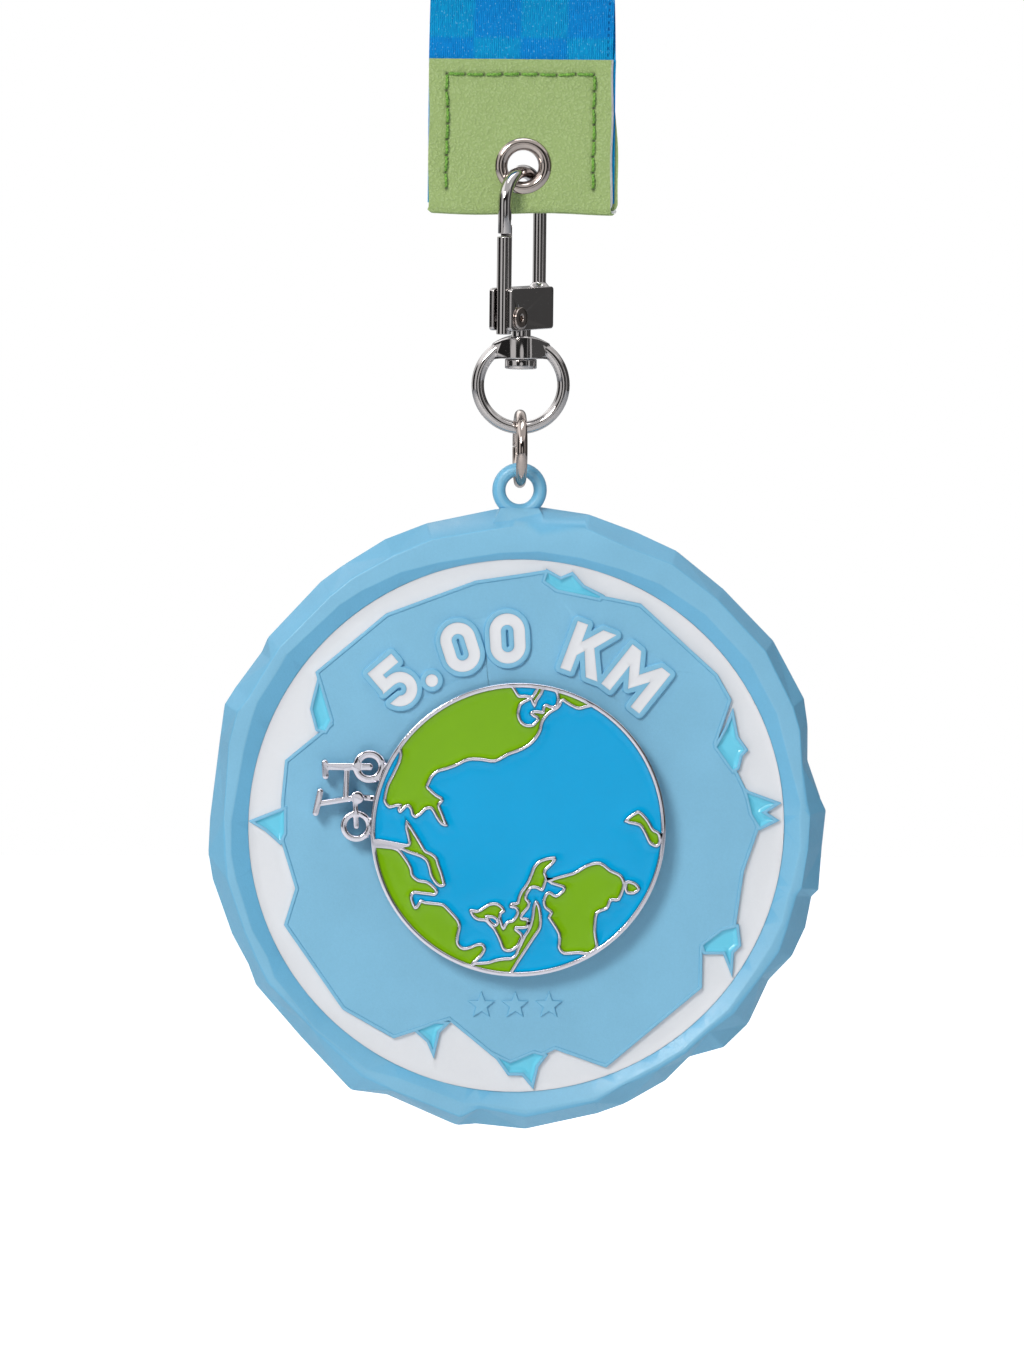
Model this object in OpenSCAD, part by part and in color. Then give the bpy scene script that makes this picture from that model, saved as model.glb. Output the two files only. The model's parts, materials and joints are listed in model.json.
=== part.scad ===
// Hanging finisher medal: neck ribbon, leather tab, swivel clasp, faceted medal and a globe that spins.
// Heights are measured from the medal's centre, and lower() drops the whole model so that the
// top of the neck loop is the origin. The medal faces -Y.

/* [Ribbon and tab] */
// Height of the neck loop's inner top above the medal's centre
hang_drop = 124; // [122:0.5:130]
// Width of the neck ribbon
ribbon_w = 25; // [24.8:0.1:26]
// Thickness of one layer of ribbon
ribbon_t = 0.3; // [0.25:0.05:0.3]
// Inner radius of the neck loop
neck_r = 5; // [4.5:0.25:6]
// Thickness of the leather
leather_t = 0.55; // [0.45:0.05:0.55]
// Width of the leather tab
tab_w = 24.8; // [24:0.1:25.2]
// Height of the tab's folded lower edge
tab_low = 82.9; // [82.5:0.1:83.2]
// Height of the tab's top edge
tab_top = 103.7; // [103:0.1:104.5]
// Thickness of the sewing thread
thread_d = 0.5; // [0.3:0.05:0.6]

/* [Eyelet] */
// Height of the eyelet's centre
eyelet_z = 89.4; // [89.4:0.05:89.5]
// Radius of the eyelet's hole
eyelet_hole_r = 2.4; // [2.4:0.05:2.5]
// Outer radius of the rolled rim
eyelet_rim_r = 3.9; // [3.8:0.05:4]

/* [Clasp] */
// Turn of the hook's plane about the vertical
clasp_turn = 54; // [54:1:56]
// Half the distance between the hook's two arms
arm_r = 4.4; // [4.4:0.05:4.5]
// Thickness of the hook's bar
bar_d = 1.8; // [1.6:0.05:1.8]
// Height of the top of the hook's bar, at its centreline
hook_top = 88.65; // [88.65:0.05:88.7]
// Height of the hook's nose
nose_z = 80.4; // [80.3:0.1:80.6]
// Height of the top of the gate
gate_top = 80; // [79.8:0.1:80.1]
// Length of the hinge block
block_w = 10.6; // [10.4:0.1:11]
// Depth of the hinge block
block_d = 3.6; // [3.5:0.1:3.8]
// Lower face of the hinge block
block_low = 67.4; // [67.3:0.1:67.5]
// Upper face of the hinge block
block_high = 73.1; // [73:0.1:73.4]

/* [Rings] */
// Height of the swivel ring's centre
swivel_z = 59.9; // [59.8:0.05:60]
// Radius of the swivel ring, at its centreline
swivel_r = 5.8; // [5.7:0.05:5.85]
// Thickness of the swivel ring's wire
swivel_d = 1.7; // [1.6:0.05:1.7]
// Radius of the jump ring, at its centreline
jump_r = 4.55; // [4.5:0.05:4.6]
// Thickness of the jump ring's wire
jump_d = 1.5; // [1.4:0.05:1.5]
// Play between one hanging ring and the next
ring_play = 0.12; // [0.1:0.02:0.2]

/* [Medal] */
// Radius of the medal's loop, at its centreline
loop_r = 2.8; // [2.75:0.05:2.9]
// Thickness of the medal's loop
loop_d = 1.8; // [1.7:0.05:1.8]
// Outer radius of the white enamel ring
ring_r = 36.4; // [36:0.1:36.6]
// Width of the raised border round the figures
border = 0.7; // [0.5:0.05:0.8]
// Radius on which the figures stand, at mid-height
figures_r = 25.8; // [25.5:0.1:26]

/* [Globe] */
// Radius of the globe
globe_r = 20; // [19.5:0.1:20]
// Width of a coast line
coast_w = 0.4; // [0.3:0.05:0.5]
// Radius of the pivot stud
stud_r = 2; // [1.8:0.1:2.2]
// Play of the pivot in its bore and between its washers
pivot_play = 0.05; // [0.03:0.01:0.08]

/* [Hidden] */
$fn = 64;
eps = 0.01;

// Layers of the tab and ribbon, from the middle outwards
pack_y = ribbon_t;
tab_y = ribbon_t + leather_t;
tab_x = -0.45;
fold_z = tab_low + tab_y;
neck_z = hang_drop - neck_r;
neck_len = 13.5;
stitch_side = 2.5;
stitch_top = 2;
stitch_end = 3.4;
across = 8;
down = 7;

// Eyelet
barrel_r = eyelet_hole_r + 0.4;
rim_tube = (eyelet_rim_r - eyelet_hole_r) / 2;
rim_y = tab_y + 0.33 - rim_tube;
washer_t = 0.12;

// Clasp, in the turned frame: X along the hook's plane
hook_z = hook_top - arm_r;
slot_w = 2.1;
slot_end = -1.45;
gate_t = 1.98;
gate_low = 66.9;
pin_x = -3.2;
pin_z = 69.05;
pin_r = 0.65;
lug_r = 1.55;
coil_r = 0.95;
coil_d = 0.3;
recess_r = 1.25;
post_r = 1.3;
post_head_r = 2.15;
yoke_low = 63.5;
yoke_high = 66.6;

// Rings, each hanging in the one above
jump_z = swivel_z - swivel_r + swivel_d / 2 + ring_play + jump_d / 2 - jump_r;
loop_z = jump_z - jump_r + jump_d / 2 + ring_play - loop_r + loop_d / 2;

// Depths of the medal, front to back
rim_front = -2.5;
plateau_front = -2.1;
ridge_h = 0.12;
ridge_w = 0.45;
white_front = -1.5;
channel_floor = -0.9;
figure_front = -2.65;
back = 2.5;
washer_floor = 1;
field_r = 35;
field_t = 0.35;
boss_r = 9;
globe_back = -2.9;
globe_front = -5.5;
pocket_t = 0.4;
bike_front = -5;
bike_back = -3.2;

// Rim corners, clockwise from the top: x, z, chamfer width in front, radius of the inner bevel
RIM = [
    [3, 43.3, 2, 37.6], [9.5, 42.4, 1.8, 37.6], [16, 40, 2.2, 37.8], [21.5, 37.5, 1.8, 38.3],
    [28, 32.3, 1.6, 38.6], [35, 25.2, 1.8, 38.8], [39.2, 17.4, 2, 38.6], [39.8, 13.8, 1.5, 38.2],
    [39.9, 8.8, 1.2, 38.2], [41.7, 3.6, 2.2, 38.8], [42.5, 2, 2.6, 38.6], [42.1, -3, 2.4, 38.8],
    [41.6, -8.9, 2.8, 38.4], [40.7, -9.9, 2.6, 38.2], [40, -14.2, 3, 38.6], [38.1, -18, 2.4, 38.4],
    [35, -21.4, 1.8, 38.2], [32.3, -27.6, 3.2, 38.4], [28.9, -30.7, 3.6, 38], [24.2, -32.1, 1.4, 38.2],
    [21, -35.5, 2.6, 38], [15.4, -38.5, 2.9, 38.2], [11.8, -39.9, 2.2, 38.8], [1.7, -42.2, 2.4, 39],
    [-5, -41.3, 2.8, 38.2], [-7.6, -41.6, 1.8, 38.6], [-17.2, -37.4, 1.4, 38], [-22.2, -36.6, 2.8, 39],
    [-29, -29.4, 2.2, 38.8], [-35.2, -22.3, 1.8, 38.8], [-36.3, -19.2, 1.4, 38.2], [-38.5, -15.2, 1.8, 38.6],
    [-41.2, -7.7, 2, 38.8], [-41.8, -4, 2.2, 39], [-41.6, 0.7, 1.8, 38.8], [-40.3, 11.6, 1.2, 38.6],
    [-39.7, 16.3, 1.8, 39], [-38.3, 18.5, 2, 39.2], [-34.7, 23.4, 1.4, 39], [-33.9, 25.4, 1.8, 39.2],
    [-26.7, 33.1, 2, 38.8], [-23.7, 35.3, 1.8, 38.6], [-18.1, 38.9, 2.2, 38.2], [-12.6, 41, 2, 37.6],
    [-3.2, 42.9, 2.2, 37.4]
];

// Edge of the raised floe, clockwise from the top
FLOE = [
    [0.5, 34.5], [-6, 33.5], [-18, 29], [-27.5, 21], [-25.5, 14], [-31.5, 9], [-32, 3.5], [-32, -2],
    [-30, -8.5], [-31.5, -13.5], [-23.5, -25], [-16.5, -29], [-9, -26.5], [-0.5, -33.5], [5.5, -30.5],
    [12.5, -33], [25.5, -22], [25.5, -16.5], [30, -13.5], [31, -6], [33, 0], [31, 5.5], [30, 7.5],
    [27, 11.5], [29, 17.5], [27, 21], [16.5, 30.5], [11.5, 31.5], [5, 32.5], [3.5, 35]
];

// Ice cracks that run from the floe's edge into the white ring
CRACKS = [
    [[3, 33.4], [3.6, 35.2], [5.6, 34.1], [7.2, 34.8], [8.8, 33], [11.6, 31.6], [11, 30.8], [5, 32]],
    [[29.2, 16.4], [30, 12.5], [31.4, 10.6], [30.6, 9.8], [30.2, 8], [29.2, 7.4], [26.6, 11], [28, 13.5]],
    [[30.6, 5.8], [31.6, 5], [36, 3.4], [34, 2.1], [35.8, 1], [33, -0.4], [31.6, 1.8]],
    [[25.1, -16], [25.6, -17.4], [28.3, -17.4], [29.6, -20.6], [29.8, -17.2], [30.8, -16.2], [30.4, -13.2],
        [28, -13.8]],
    [[-3.4, -30.6], [-0.9, -34.1], [1, -34.1], [2.6, -36], [3.3, -32.9], [4.6, -31.2], [2.6, -30.6],
        [-0.6, -32]],
    [[-13.9, -27.8], [-12, -29.5], [-11, -31.8], [-10.2, -28.2], [-8.6, -26.6], [-11, -26.6]],
    [[-31.2, 2.8], [-36.4, 0.7], [-34.2, -0.6], [-32, -2.6], [-31.2, -1]],
    [[-27, 21], [-28, 17], [-28.2, 16], [-27.4, 13], [-25.9, 12.6], [-25, 14.5]]
];

// Coasts of the lands on the globe, whose north points left; curved() joins the points smoothly
AMERICA = [
    [-1.2, 19.6], [-0.8, 19.2], [-0.5, 18.7], [-0.1, 18.2], [0.6, 18.2], [1.2, 18.1], [1.2, 17.8], [0.6, 17.5],
    [0.1, 17.1], [-0.1, 16.6], [-0.2, 16], [-0.1, 15.3], [0.2, 14.7], [0.7, 14.3], [1.3, 14.2], [1.8, 14.3],
    [2.2, 14.7], [2.5, 15.1], [2.3, 15.4], [1.9, 15.6], [1.6, 15.9], [1.9, 16.1], [2.5, 16.1], [3.1, 16],
    [3.2, 16.3], [3.3, 16.8], [3.6, 17], [4, 16.8], [4.5, 16.7], [4.9, 16.9], [5.1, 17.3], [5.2, 18],
    [5.1, 18.6], [4.8, 19.1], [5, 20.4], [9.5, 20], [10.8, 17.6], [9.6, 17], [8.8, 16.8], [8, 16.6], [7.2, 16.9],
    [6.5, 17.3], [5.9, 17.7], [5.6, 17.6], [5.4, 17.1], [5.1, 16.7], [4.6, 16.4], [4, 16], [3.5, 15.5],
    [3.1, 14.9], [2.9, 14.3], [2.8, 13.7], [2.3, 12.7], [1.5, 11.8], [0.6, 11.2], [-0.5, 10.7], [-1.6, 10.3],
    [-3.3, 9.4], [-5, 9.6], [-6.9, 9.6], [-8.6, 8.8], [-10, 8.3], [-11, 8], [-11.8, 7.3], [-12.2, 6.5],
    [-12.4, 5.9], [-12, 5.4], [-11.2, 4.7], [-10.5, 4.3], [-10.4, 4], [-10.8, 3.5], [-10.7, 2.9], [-10.4, 2.2],
    [-10.1, 1.4], [-9.8, 0.7], [-10.4, 0.9], [-11, 1.7], [-11.5, 2.6], [-11.9, 3], [-12.6, 2.9], [-13.2, 2.3],
    [-13.9, 1.8], [-14.3, 2.1], [-14.5, 2.8], [-14.9, 3.3], [-15.3, 3.2], [-16, 2.5], [-16.2, 2.9], [-16, 3.3],
    [-16.6, 3.3], [-17.4, 3.1], [-17.8, 3.4], [-18.1, 4], [-18, 4.9], [-17.7, 6.1], [-17.1, 7.3], [-16.4, 8.8],
    [-16.1, 9.7], [-16, 10.5], [-16.2, 11.3], [-17.4, 12.6], [-14.6, 16], [-9.5, 19], [-4, 20.6], [-1.8, 20.2]
];
REEF = [
    [2.4, 20.2], [2.4, 19.3], [2.1, 18.7], [1.7, 18.1], [1.2, 18.1], [1.6, 17.8], [2, 17], [2.2, 17.6],
    [2.6, 18.2], [2.9, 18.7], [3.1, 19.3], [3.3, 20.2]
];
ASIA = [
    [-20.5, -2], [-17.3, -2.4], [-16.2, -2.8], [-15.3, -3.9], [-14.9, -4.5], [-14.5, -5.3], [-14.3, -6.2],
    [-13.5, -6.9], [-12.4, -7.1], [-11.6, -7.6], [-11, -8.3], [-11.3, -8.8], [-12.1, -8.7], [-13.1, -8.6],
    [-14, -8.5], [-14.4, -8.9], [-14.3, -9.7], [-13.9, -10.6], [-13.6, -10.5], [-13.1, -9.7], [-12.6, -9.9],
    [-11.7, -10], [-10.7, -10.1], [-10, -10.3], [-9, -11.3], [-8.2, -12.2], [-7.9, -12.8], [-7.9, -13.5],
    [-8.1, -14.4], [-8.1, -15.4], [-7.7, -16], [-7.1, -16.2], [-6.3, -16], [-5.6, -15.7], [-4.9, -15.6],
    [-4.5, -15.9], [-4.5, -16.4], [-4.9, -17.1], [-5.5, -17.7], [-6, -18.2], [-6.8, -20], [-12, -18], [-17, -13],
    [-20, -7]
];
KAMCHATKA = [
    [-15.1, 1], [-15.1, 0.2], [-14.9, -0.6], [-14.7, -1.6], [-14.9, -2.1], [-16.2, -2.2], [-16.6, -2.4],
    [-15.7, -2.6], [-14.8, -3], [-13.3, -3.5], [-12.4, -4.1], [-12, -5], [-11.7, -6.2], [-11.1, -7.2],
    [-10.5, -7.6], [-10, -7.4], [-10.4, -5.9], [-10.8, -4.8], [-11.1, -3.9], [-11.8, -3.3], [-12.6, -2.9],
    [-13.1, -2.1], [-13.9, -0.8], [-14.6, 0.3]
];
// Solid metal where the two northern coasts run together
SPIT = [[-20.5, -1.2], [-18.6, -1.3], [-17, -1.6], [-14.9, -2], [-15.4, -2.4], [-16.4, -2.7], [-20.5, -2.3]];
INDIES = [
    [-6.3, -11], [-5.6, -11.1], [-5, -10.9], [-4.4, -10.5], [-3.7, -10.1], [-2.8, -10.1], [-2.2, -10.5],
    [-1.9, -11], [-2.3, -11.3], [-2.4, -11.9], [-2.2, -12.7], [-1.9, -13.4], [-1.6, -12.9], [-1.2, -12.5],
    [-0.7, -12.4], [-0.3, -12], [0, -11.4], [0, -10.8], [-0.4, -10.5], [-0.9, -10.4], [-0.8, -10.1], [-0.1, -10],
    [0.1, -9.7], [0.2, -9.2], [0.5, -8.5], [1, -7.8], [1.5, -6.9], [1.9, -5.9], [2.2, -5.1], [2.9, -4.3],
    [4, -3.9], [4.9, -3.8], [4.9, -4.1], [4.4, -4.7], [3.7, -5.4], [3.6, -5.9], [3.8, -6.4], [3.7, -7],
    [3.3, -8.1], [2.6, -7.8], [1.8, -7.8], [1.4, -8.3], [1.1, -8.9], [1.2, -9.5], [1.5, -9.8], [1.4, -10.5],
    [1, -11], [0.5, -11.7], [0.6, -12.1], [1.4, -12.2], [1.4, -12.8], [1.3, -13.2], [0.6, -13.3], [-0.2, -13.3],
    [-0.2, -13.6], [0.6, -14.3], [0.4, -15], [0.2, -15.5], [-0.2, -16], [-0.9, -16.4], [-1.5, -16.4],
    [-1.9, -16.1], [-2.2, -15.3], [-2.6, -14.4], [-3.1, -13.5], [-3.7, -12.9], [-4.3, -12.3], [-5.2, -12.2],
    [-5.9, -11.8]
];
LAKE = [[-4.2, -11.8], [-3.7, -11.8], [-3.2, -11.9], [-2.7, -12.3], [-2.7, -12.7], [-3, -13], [-3.6, -12.6]];
JAVA = [
    [-6.2, -20], [-5.9, -18.3], [-5.1, -18.2], [-3.9, -18.1], [-3, -17.8], [-1.9, -17.6], [-0.8, -17.5],
    [-0.2, -17.1], [0.1, -16.4], [0.5, -15.6], [1, -14.5], [1.5, -13.7], [1.8, -13], [2.1, -11.7], [2.2, -10.6],
    [2.5, -9.8], [2.9, -10.5], [3.1, -11.7], [3.1, -12.8], [2.9, -13.6], [2.3, -14.5], [1.6, -15.6], [0.7, -17],
    [0, -18.1], [-0.9, -19.6], [-1.4, -20.6]
];
AUSTRALIA = [
    [4.2, -6.9], [6.2, -7.7], [6.2, -8.2], [5.2, -9], [4.2, -8.5], [3.6, -9.4], [3.8, -10.5], [4.6, -11.2],
    [4.3, -11.9], [5.7, -14.1], [5.7, -16], [6.4, -16.8], [8.3, -16.7], [9.7, -16.8], [10.8, -15.9],
    [10.5, -13.8], [10.7, -11.3], [12.1, -10.6], [12.6, -9.5], [13.7, -9.4], [14.4, -7.4], [13.9, -6.2],
    [12.5, -5.5], [11.1, -4.5], [9.4, -4.8], [7.5, -5.9]
];
TASMANIA = [[14.7, -7.1], [15.7, -7.2], [16.4, -7.9], [15.8, -8.5], [14.8, -8.4]];
ZEALAND = [
    [16.1, 2.5], [14.6, 1.3], [16.4, 0.8], [17.2, -0.3], [17.9, -1.7], [18.8, -2.1], [19.2, -1.4], [19, -0.4],
    [18.2, 0.1], [17.5, 1.3], [16.7, 2.2]
];

// Drops a shape drawn about the medal's centre to its place below the origin
module lower() {
    translate([0, 0, -hang_drop]) children();
}

// Extrudes a flat shape drawn in X and Z from depth front to depth rear
module facing(front, rear) {
    translate([0, rear, 0]) rotate([90, 0, 0]) linear_extrude(rear - front) children();
}

// A disc about the Y axis, from depth front to depth rear
module disc(r, front, rear) {
    translate([0, rear, 0]) rotate([90, 0, 0]) cylinder(r = r, h = rear - front);
}

// Turns a shape into the hook's plane
module turn_clasp() {
    rotate([0, 0, clasp_turn]) children();
}

// A wire ring in the XZ plane
module wire_ring(r, d) {
    rotate([90, 0, 0]) rotate_extrude() translate([r, 0]) circle(d = d, $fn = 32);
}

// A flat bar with round ends between two points
module bar(a, b, t) {
    run = b - a;
    translate(a) rotate(atan2(run[1], run[0])) translate([0, -t / 2]) square([norm(run), t]);
    translate(a) circle(d = t, $fn = 20);
    translate(b) circle(d = t, $fn = 20);
}

// A disc with a teardrop's point below it, the point at the given distance
module teardrop(r, point) {
    lean = asin(r / point);
    circle(r = r);
    polygon([[0, -point], [r * cos(lean), -r * sin(lean)], [-r * cos(lean), -r * sin(lean)]]);
}

// Ribbon: two layers rise from the tab and close in a loop
module ribbon_side() {
    difference() {
        union() {
            translate([0, neck_z]) teardrop(neck_r + ribbon_t, neck_len * (neck_r + ribbon_t) / neck_r);
            translate([-pack_y, fold_z]) square([2 * pack_y, neck_z - neck_len + 3 - fold_z]);
        }
        translate([0, neck_z]) teardrop(neck_r, neck_len);
    }
}

module neck_ribbon() {
    color("dodgerblue") lower() difference() {
        rotate([90, 0, 90]) translate([0, 0, -ribbon_w / 2]) linear_extrude(ribbon_w) ribbon_side();
        translate([0, 0, eyelet_z]) disc(barrel_r, -tab_y, tab_y);
    }
}

// Tab: one strip of leather folded round the ribbon's ends
module tab_side() {
    difference() {
        union() {
            translate([-tab_y, fold_z]) square([2 * tab_y, tab_top - fold_z]);
            translate([0, fold_z]) circle(r = tab_y);
        }
        translate([-pack_y, fold_z]) square([2 * pack_y, tab_top - fold_z + 1]);
        translate([0, fold_z]) circle(r = pack_y);
    }
}

module leather_tab() {
    color("yellowgreen") lower() difference() {
        rotate([90, 0, 90]) translate([0, 0, tab_x - tab_w / 2]) linear_extrude(tab_w) tab_side();
        translate([0, 0, eyelet_z]) disc(barrel_r, -2 * tab_y, 2 * tab_y);
    }
}

// Stitches: a row across the top and one down each side, on both faces
module stitch(a, b, y) {
    run = b - a;
    gap = 0.14;
    translate([a[0] + gap * run[0], y, a[1] + gap * run[1]])
        rotate([0, 90 - atan2(run[1], run[0]), 0])
            cylinder(d = thread_d, h = norm(run) * (1 - 2 * gap), $fn = 16);
}

module stitch_row(a, b, count, y) {
    for (i = [0 : count - 1])
        stitch(a + (b - a) * i / count, a + (b - a) * (i + 1) / count, y);
}

module tab_stitching() {
    left = tab_x - tab_w / 2 + stitch_side;
    right = tab_x + tab_w / 2 - stitch_side;
    high = tab_top - stitch_top;
    low = tab_low + stitch_end;
    color("forestgreen") lower() for (y = [-tab_y - thread_d / 2, tab_y + thread_d / 2]) {
        stitch_row([left, high], [right, high], across, y);
        stitch_row([left, low], [left, high], down, y);
        stitch_row([right, low], [right, high], down, y);
    }
}

// Eyelet: half of its turned section, with its rolled rim over the leather
module eyelet_half(seat) {
    square_h = rim_y;
    translate([eyelet_hole_r, 0]) square([barrel_r - eyelet_hole_r, seat]);
    intersection() {
        translate([eyelet_hole_r + rim_tube, rim_y]) circle(r = rim_tube, $fn = 40);
        union() {
            translate([0, square_h]) square([barrel_r, 2]);
            translate([0, seat]) square([8, 2]);
        }
    }
}

module eyelet_section() {
    difference() {
        union() {
            eyelet_half(tab_y);
            mirror([0, 1]) eyelet_half(tab_y + washer_t);
        }
        for (side = [-1, 1])
            translate([eyelet_hole_r, side * rim_y])
                intersection() {
                    translate([-1, side > 0 ? 0 : -2]) square([1 + rim_tube, 2]);
                    difference() {
                        translate([-1, -2]) square([1 + rim_tube, 4]);
                        translate([rim_tube, 0]) circle(r = rim_tube, $fn = 40);
                    }
                }
    }
}

module eyelet_barrel() {
    color("silver") lower() translate([0, 0, eyelet_z])
        rotate([90, 0, 0]) rotate_extrude() eyelet_section();
}

module eyelet_washer() {
    color("silver") lower() translate([0, 0, eyelet_z]) difference() {
        disc(eyelet_rim_r, tab_y, tab_y + washer_t);
        disc(barrel_r, 0, 2 * tab_y);
    }
}

// Clasp: hook, long arm and forked block in one casting
module hook_bar() {
    translate([arm_r, 0, block_high - 0.5]) cylinder(d = bar_d, h = hook_z - block_high + 0.5);
    translate([-arm_r, 0, nose_z]) cylinder(d = bar_d, h = hook_z - nose_z);
    translate([0, 0, hook_z]) rotate([90, 0, 0])
        rotate_extrude(angle = 180) translate([arm_r, 0]) circle(d = bar_d, $fn = 40);
    translate([arm_r, 0, block_high]) cylinder(d1 = bar_d + 0.9, d2 = bar_d, h = 0.5, $fn = 40);
}

module block_outline() {
    corner = 0.5;
    for (x = [-1, 1], z = [-1, 1])
        translate([x * (block_w / 2 - corner), (block_low + block_high) / 2
            + z * ((block_high - block_low) / 2 - corner)]) circle(r = corner, $fn = 24);
    translate([-block_w / 2 + corner, block_low]) square([block_w - 2 * corner, block_high - block_low]);
    translate([-block_w / 2, block_low + corner]) square([block_w, block_high - block_low - 2 * corner]);
}

module clasp_frame() {
    color("dimgray") lower() turn_clasp() difference() {
        union() {
            hook_bar();
            facing(-block_d / 2, block_d / 2) block_outline();
        }
        translate([-block_w, -slot_w / 2, block_low - 1])
            cube([block_w + slot_end, slot_w, block_high - block_low + 2]);
        translate([pin_x, 0, pin_z]) disc(pin_r, -block_d, block_d);
        translate([0, 0, block_low - 1]) cylinder(r = post_r, h = 3);
        translate([-arm_r + 0.3, -2, nose_z - 1]) cube([2, 4, 2.8]);
    }
}

module gate_pin() {
    head_t = 0.35;
    cheek = block_d / 2;
    color("silver") lower() turn_clasp() translate([pin_x, 0, pin_z]) difference() {
        union() {
            disc(pin_r, -cheek - head_t, cheek + head_t);
            disc(1.5, -cheek - head_t, -cheek);
            disc(1.5, cheek, cheek + head_t);
        }
        disc(0.4, -cheek - head_t - 1, -0.6);
    }
}

module gate_spring() {
    near = -gate_t / 2 + 0.1;
    color("silver") lower() turn_clasp() translate([pin_x, 0, pin_z]) {
        translate([0, near + coil_d / 2, 0]) rotate([-90, 0, 0]) rotate_extrude()
            for (turn = [0, 1])
                translate([coil_r, 0.26 * turn]) circle(d = coil_d, $fn = 24);
        translate([0, near + coil_d / 2, 0.03 - coil_r]) rotate([0, 90, 0])
            cylinder(d = 0.2, h = slot_end - pin_x, $fn = 16);
    }
}

module swivel_post() {
    color("gray") lower() {
        translate([0, 0, yoke_low - 0.08]) cylinder(r = post_r, h = block_low + 2 - yoke_low + 0.08);
        translate([0, 0, yoke_low - 1.4]) cylinder(r = post_head_r, h = 1.32);
    }
}

// Gate: bar, finger behind the nose, lug round the pin and a thumb ridge
module gate_outline() {
    translate([pin_x, pin_z]) circle(r = lug_r);
    translate([-arm_r, gate_low + 0.4]) square([arm_r + pin_x, 3.2]);
}

module clasp_gate() {
    finger = 0.55;
    color("dimgray") lower() turn_clasp() difference() {
        union() {
            translate([-arm_r, 0, gate_low]) cylinder(d = gate_t, h = gate_top - gate_low);
            facing(-gate_t / 2, gate_t / 2) gate_outline();
            intersection() {
                translate([-arm_r, 0, gate_top - 1]) cylinder(d = gate_t, h = 2.6);
                translate([-arm_r + 0.4, -2, gate_top - 1]) cube([finger, 4, 2.6]);
            }
        }
        translate([pin_x, 0, pin_z]) disc(pin_r + 0.05, -block_d, block_d);
        translate([pin_x, 0, pin_z]) disc(recess_r, -block_d, -0.1);
        translate([pin_x, 0, pin_z]) facing(-block_d, -0.1)
            polygon([[0, 0], [1.2, -2.6], [3, -2.4], [3, 1.4], [2, 1.6]]);
    }
}

// Swivel ring with its domed yoke
module swivel_ring() {
    color("gray") lower() difference() {
        union() {
            translate([0, 0, swivel_z]) wire_ring(swivel_r, swivel_d);
            intersection() {
                translate([0, 0, yoke_low]) linear_extrude(yoke_high - yoke_low) hull() {
                    circle(d = 5.4, $fn = 48);
                    for (x = [-1, 1])
                        translate([3 * x, 0]) circle(d = 1.7, $fn = 24);
                }
                translate([0, 0, swivel_z - 0.5]) disc(yoke_high - swivel_z + 0.5, -5, 5);
            }
        }
        translate([0, 0, yoke_low - 1]) cylinder(r = post_r + 0.05, h = 6);
    }
}

// Jump ring, with the slit where its wire was closed
module jump_ring() {
    color("gray") lower() translate([0, 0, jump_z]) difference() {
        rotate([0, 0, 90]) wire_ring(jump_r, jump_d);
        translate([-2, 2, -0.05]) cube([4, 6, 0.1]);
    }
}

// Medal rim: loops of corners from the back edge, over the front, down the inner bevel
function rim_dir(c) = [c[0], c[1]] / norm([c[0], c[1]]);
function rim_at(c, r, y) = [rim_dir(c)[0] * r, y, rim_dir(c)[1] * r];
function rim_size(c) = norm([c[0], c[1]]);
RIM_LOOPS = concat(
    [for (c = RIM) rim_at(c, rim_size(c) - 0.7, back)],
    [for (i = [0 : len(RIM) - 1]) rim_at(RIM[i], rim_size(RIM[i]), 0.9 + 0.5 * (i % 3))],
    [for (c = RIM) rim_at(c, rim_size(c) - c[2], rim_front + 0.04 * c[2])],
    [for (c = RIM) rim_at(c, c[3], rim_front)],
    [for (c = RIM) rim_at(c, ring_r - 1, white_front + 0.4)],
    [for (c = RIM) rim_at(c, ring_r - 1, back)]
);
RIM_N = len(RIM);
RIM_K = 6;
RIM_FACES = [
    for (k = [0 : RIM_K - 1], i = [0 : RIM_N - 1], half = [0, 1])
        let (
            a = k * RIM_N + i,
            b = k * RIM_N + (i + 1) % RIM_N,
            c = ((k + 1) % RIM_K) * RIM_N + i,
            d = ((k + 1) % RIM_K) * RIM_N + (i + 1) % RIM_N
        )
        (i + k) % 2 == 0 ? (half == 0 ? [a, b, d] : [a, d, c]) : (half == 0 ? [a, b, c] : [b, d, c])
];

module medal_body() {
    difference() {
        union() {
            polyhedron(points = RIM_LOOPS, faces = RIM_FACES);
            disc(ring_r - 0.5, channel_floor, back);
        }
        disc(ring_r, rim_front - 2, channel_floor);
    }
}

module medal_loop() {
    neck_w = 2.6;
    translate([0, 0, loop_z]) wire_ring(loop_r, loop_d);
    facing(-1.1, 1.1) polygon([[-neck_w - 1.2, 41], [-neck_w, loop_z - 2.4], [neck_w, loop_z - 2.4],
        [neck_w + 1.2, 41]]);
}

module loop_hole() {
    translate([0, 0, loop_z]) disc(loop_r - loop_d / 2, -4, 4);
}

// Figures: numeral and letter shapes about 6.8 high, centred on their own origin
module pill(w, rise) {
    for (s = [-1, 1])
        translate([0, s * rise]) circle(d = w, $fn = 28);
    square([w, 2 * rise], center = true);
}

module figure_0() {
    difference() {
        pill(4.8, 1);
        pill(1.7, 1);
    }
}

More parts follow.
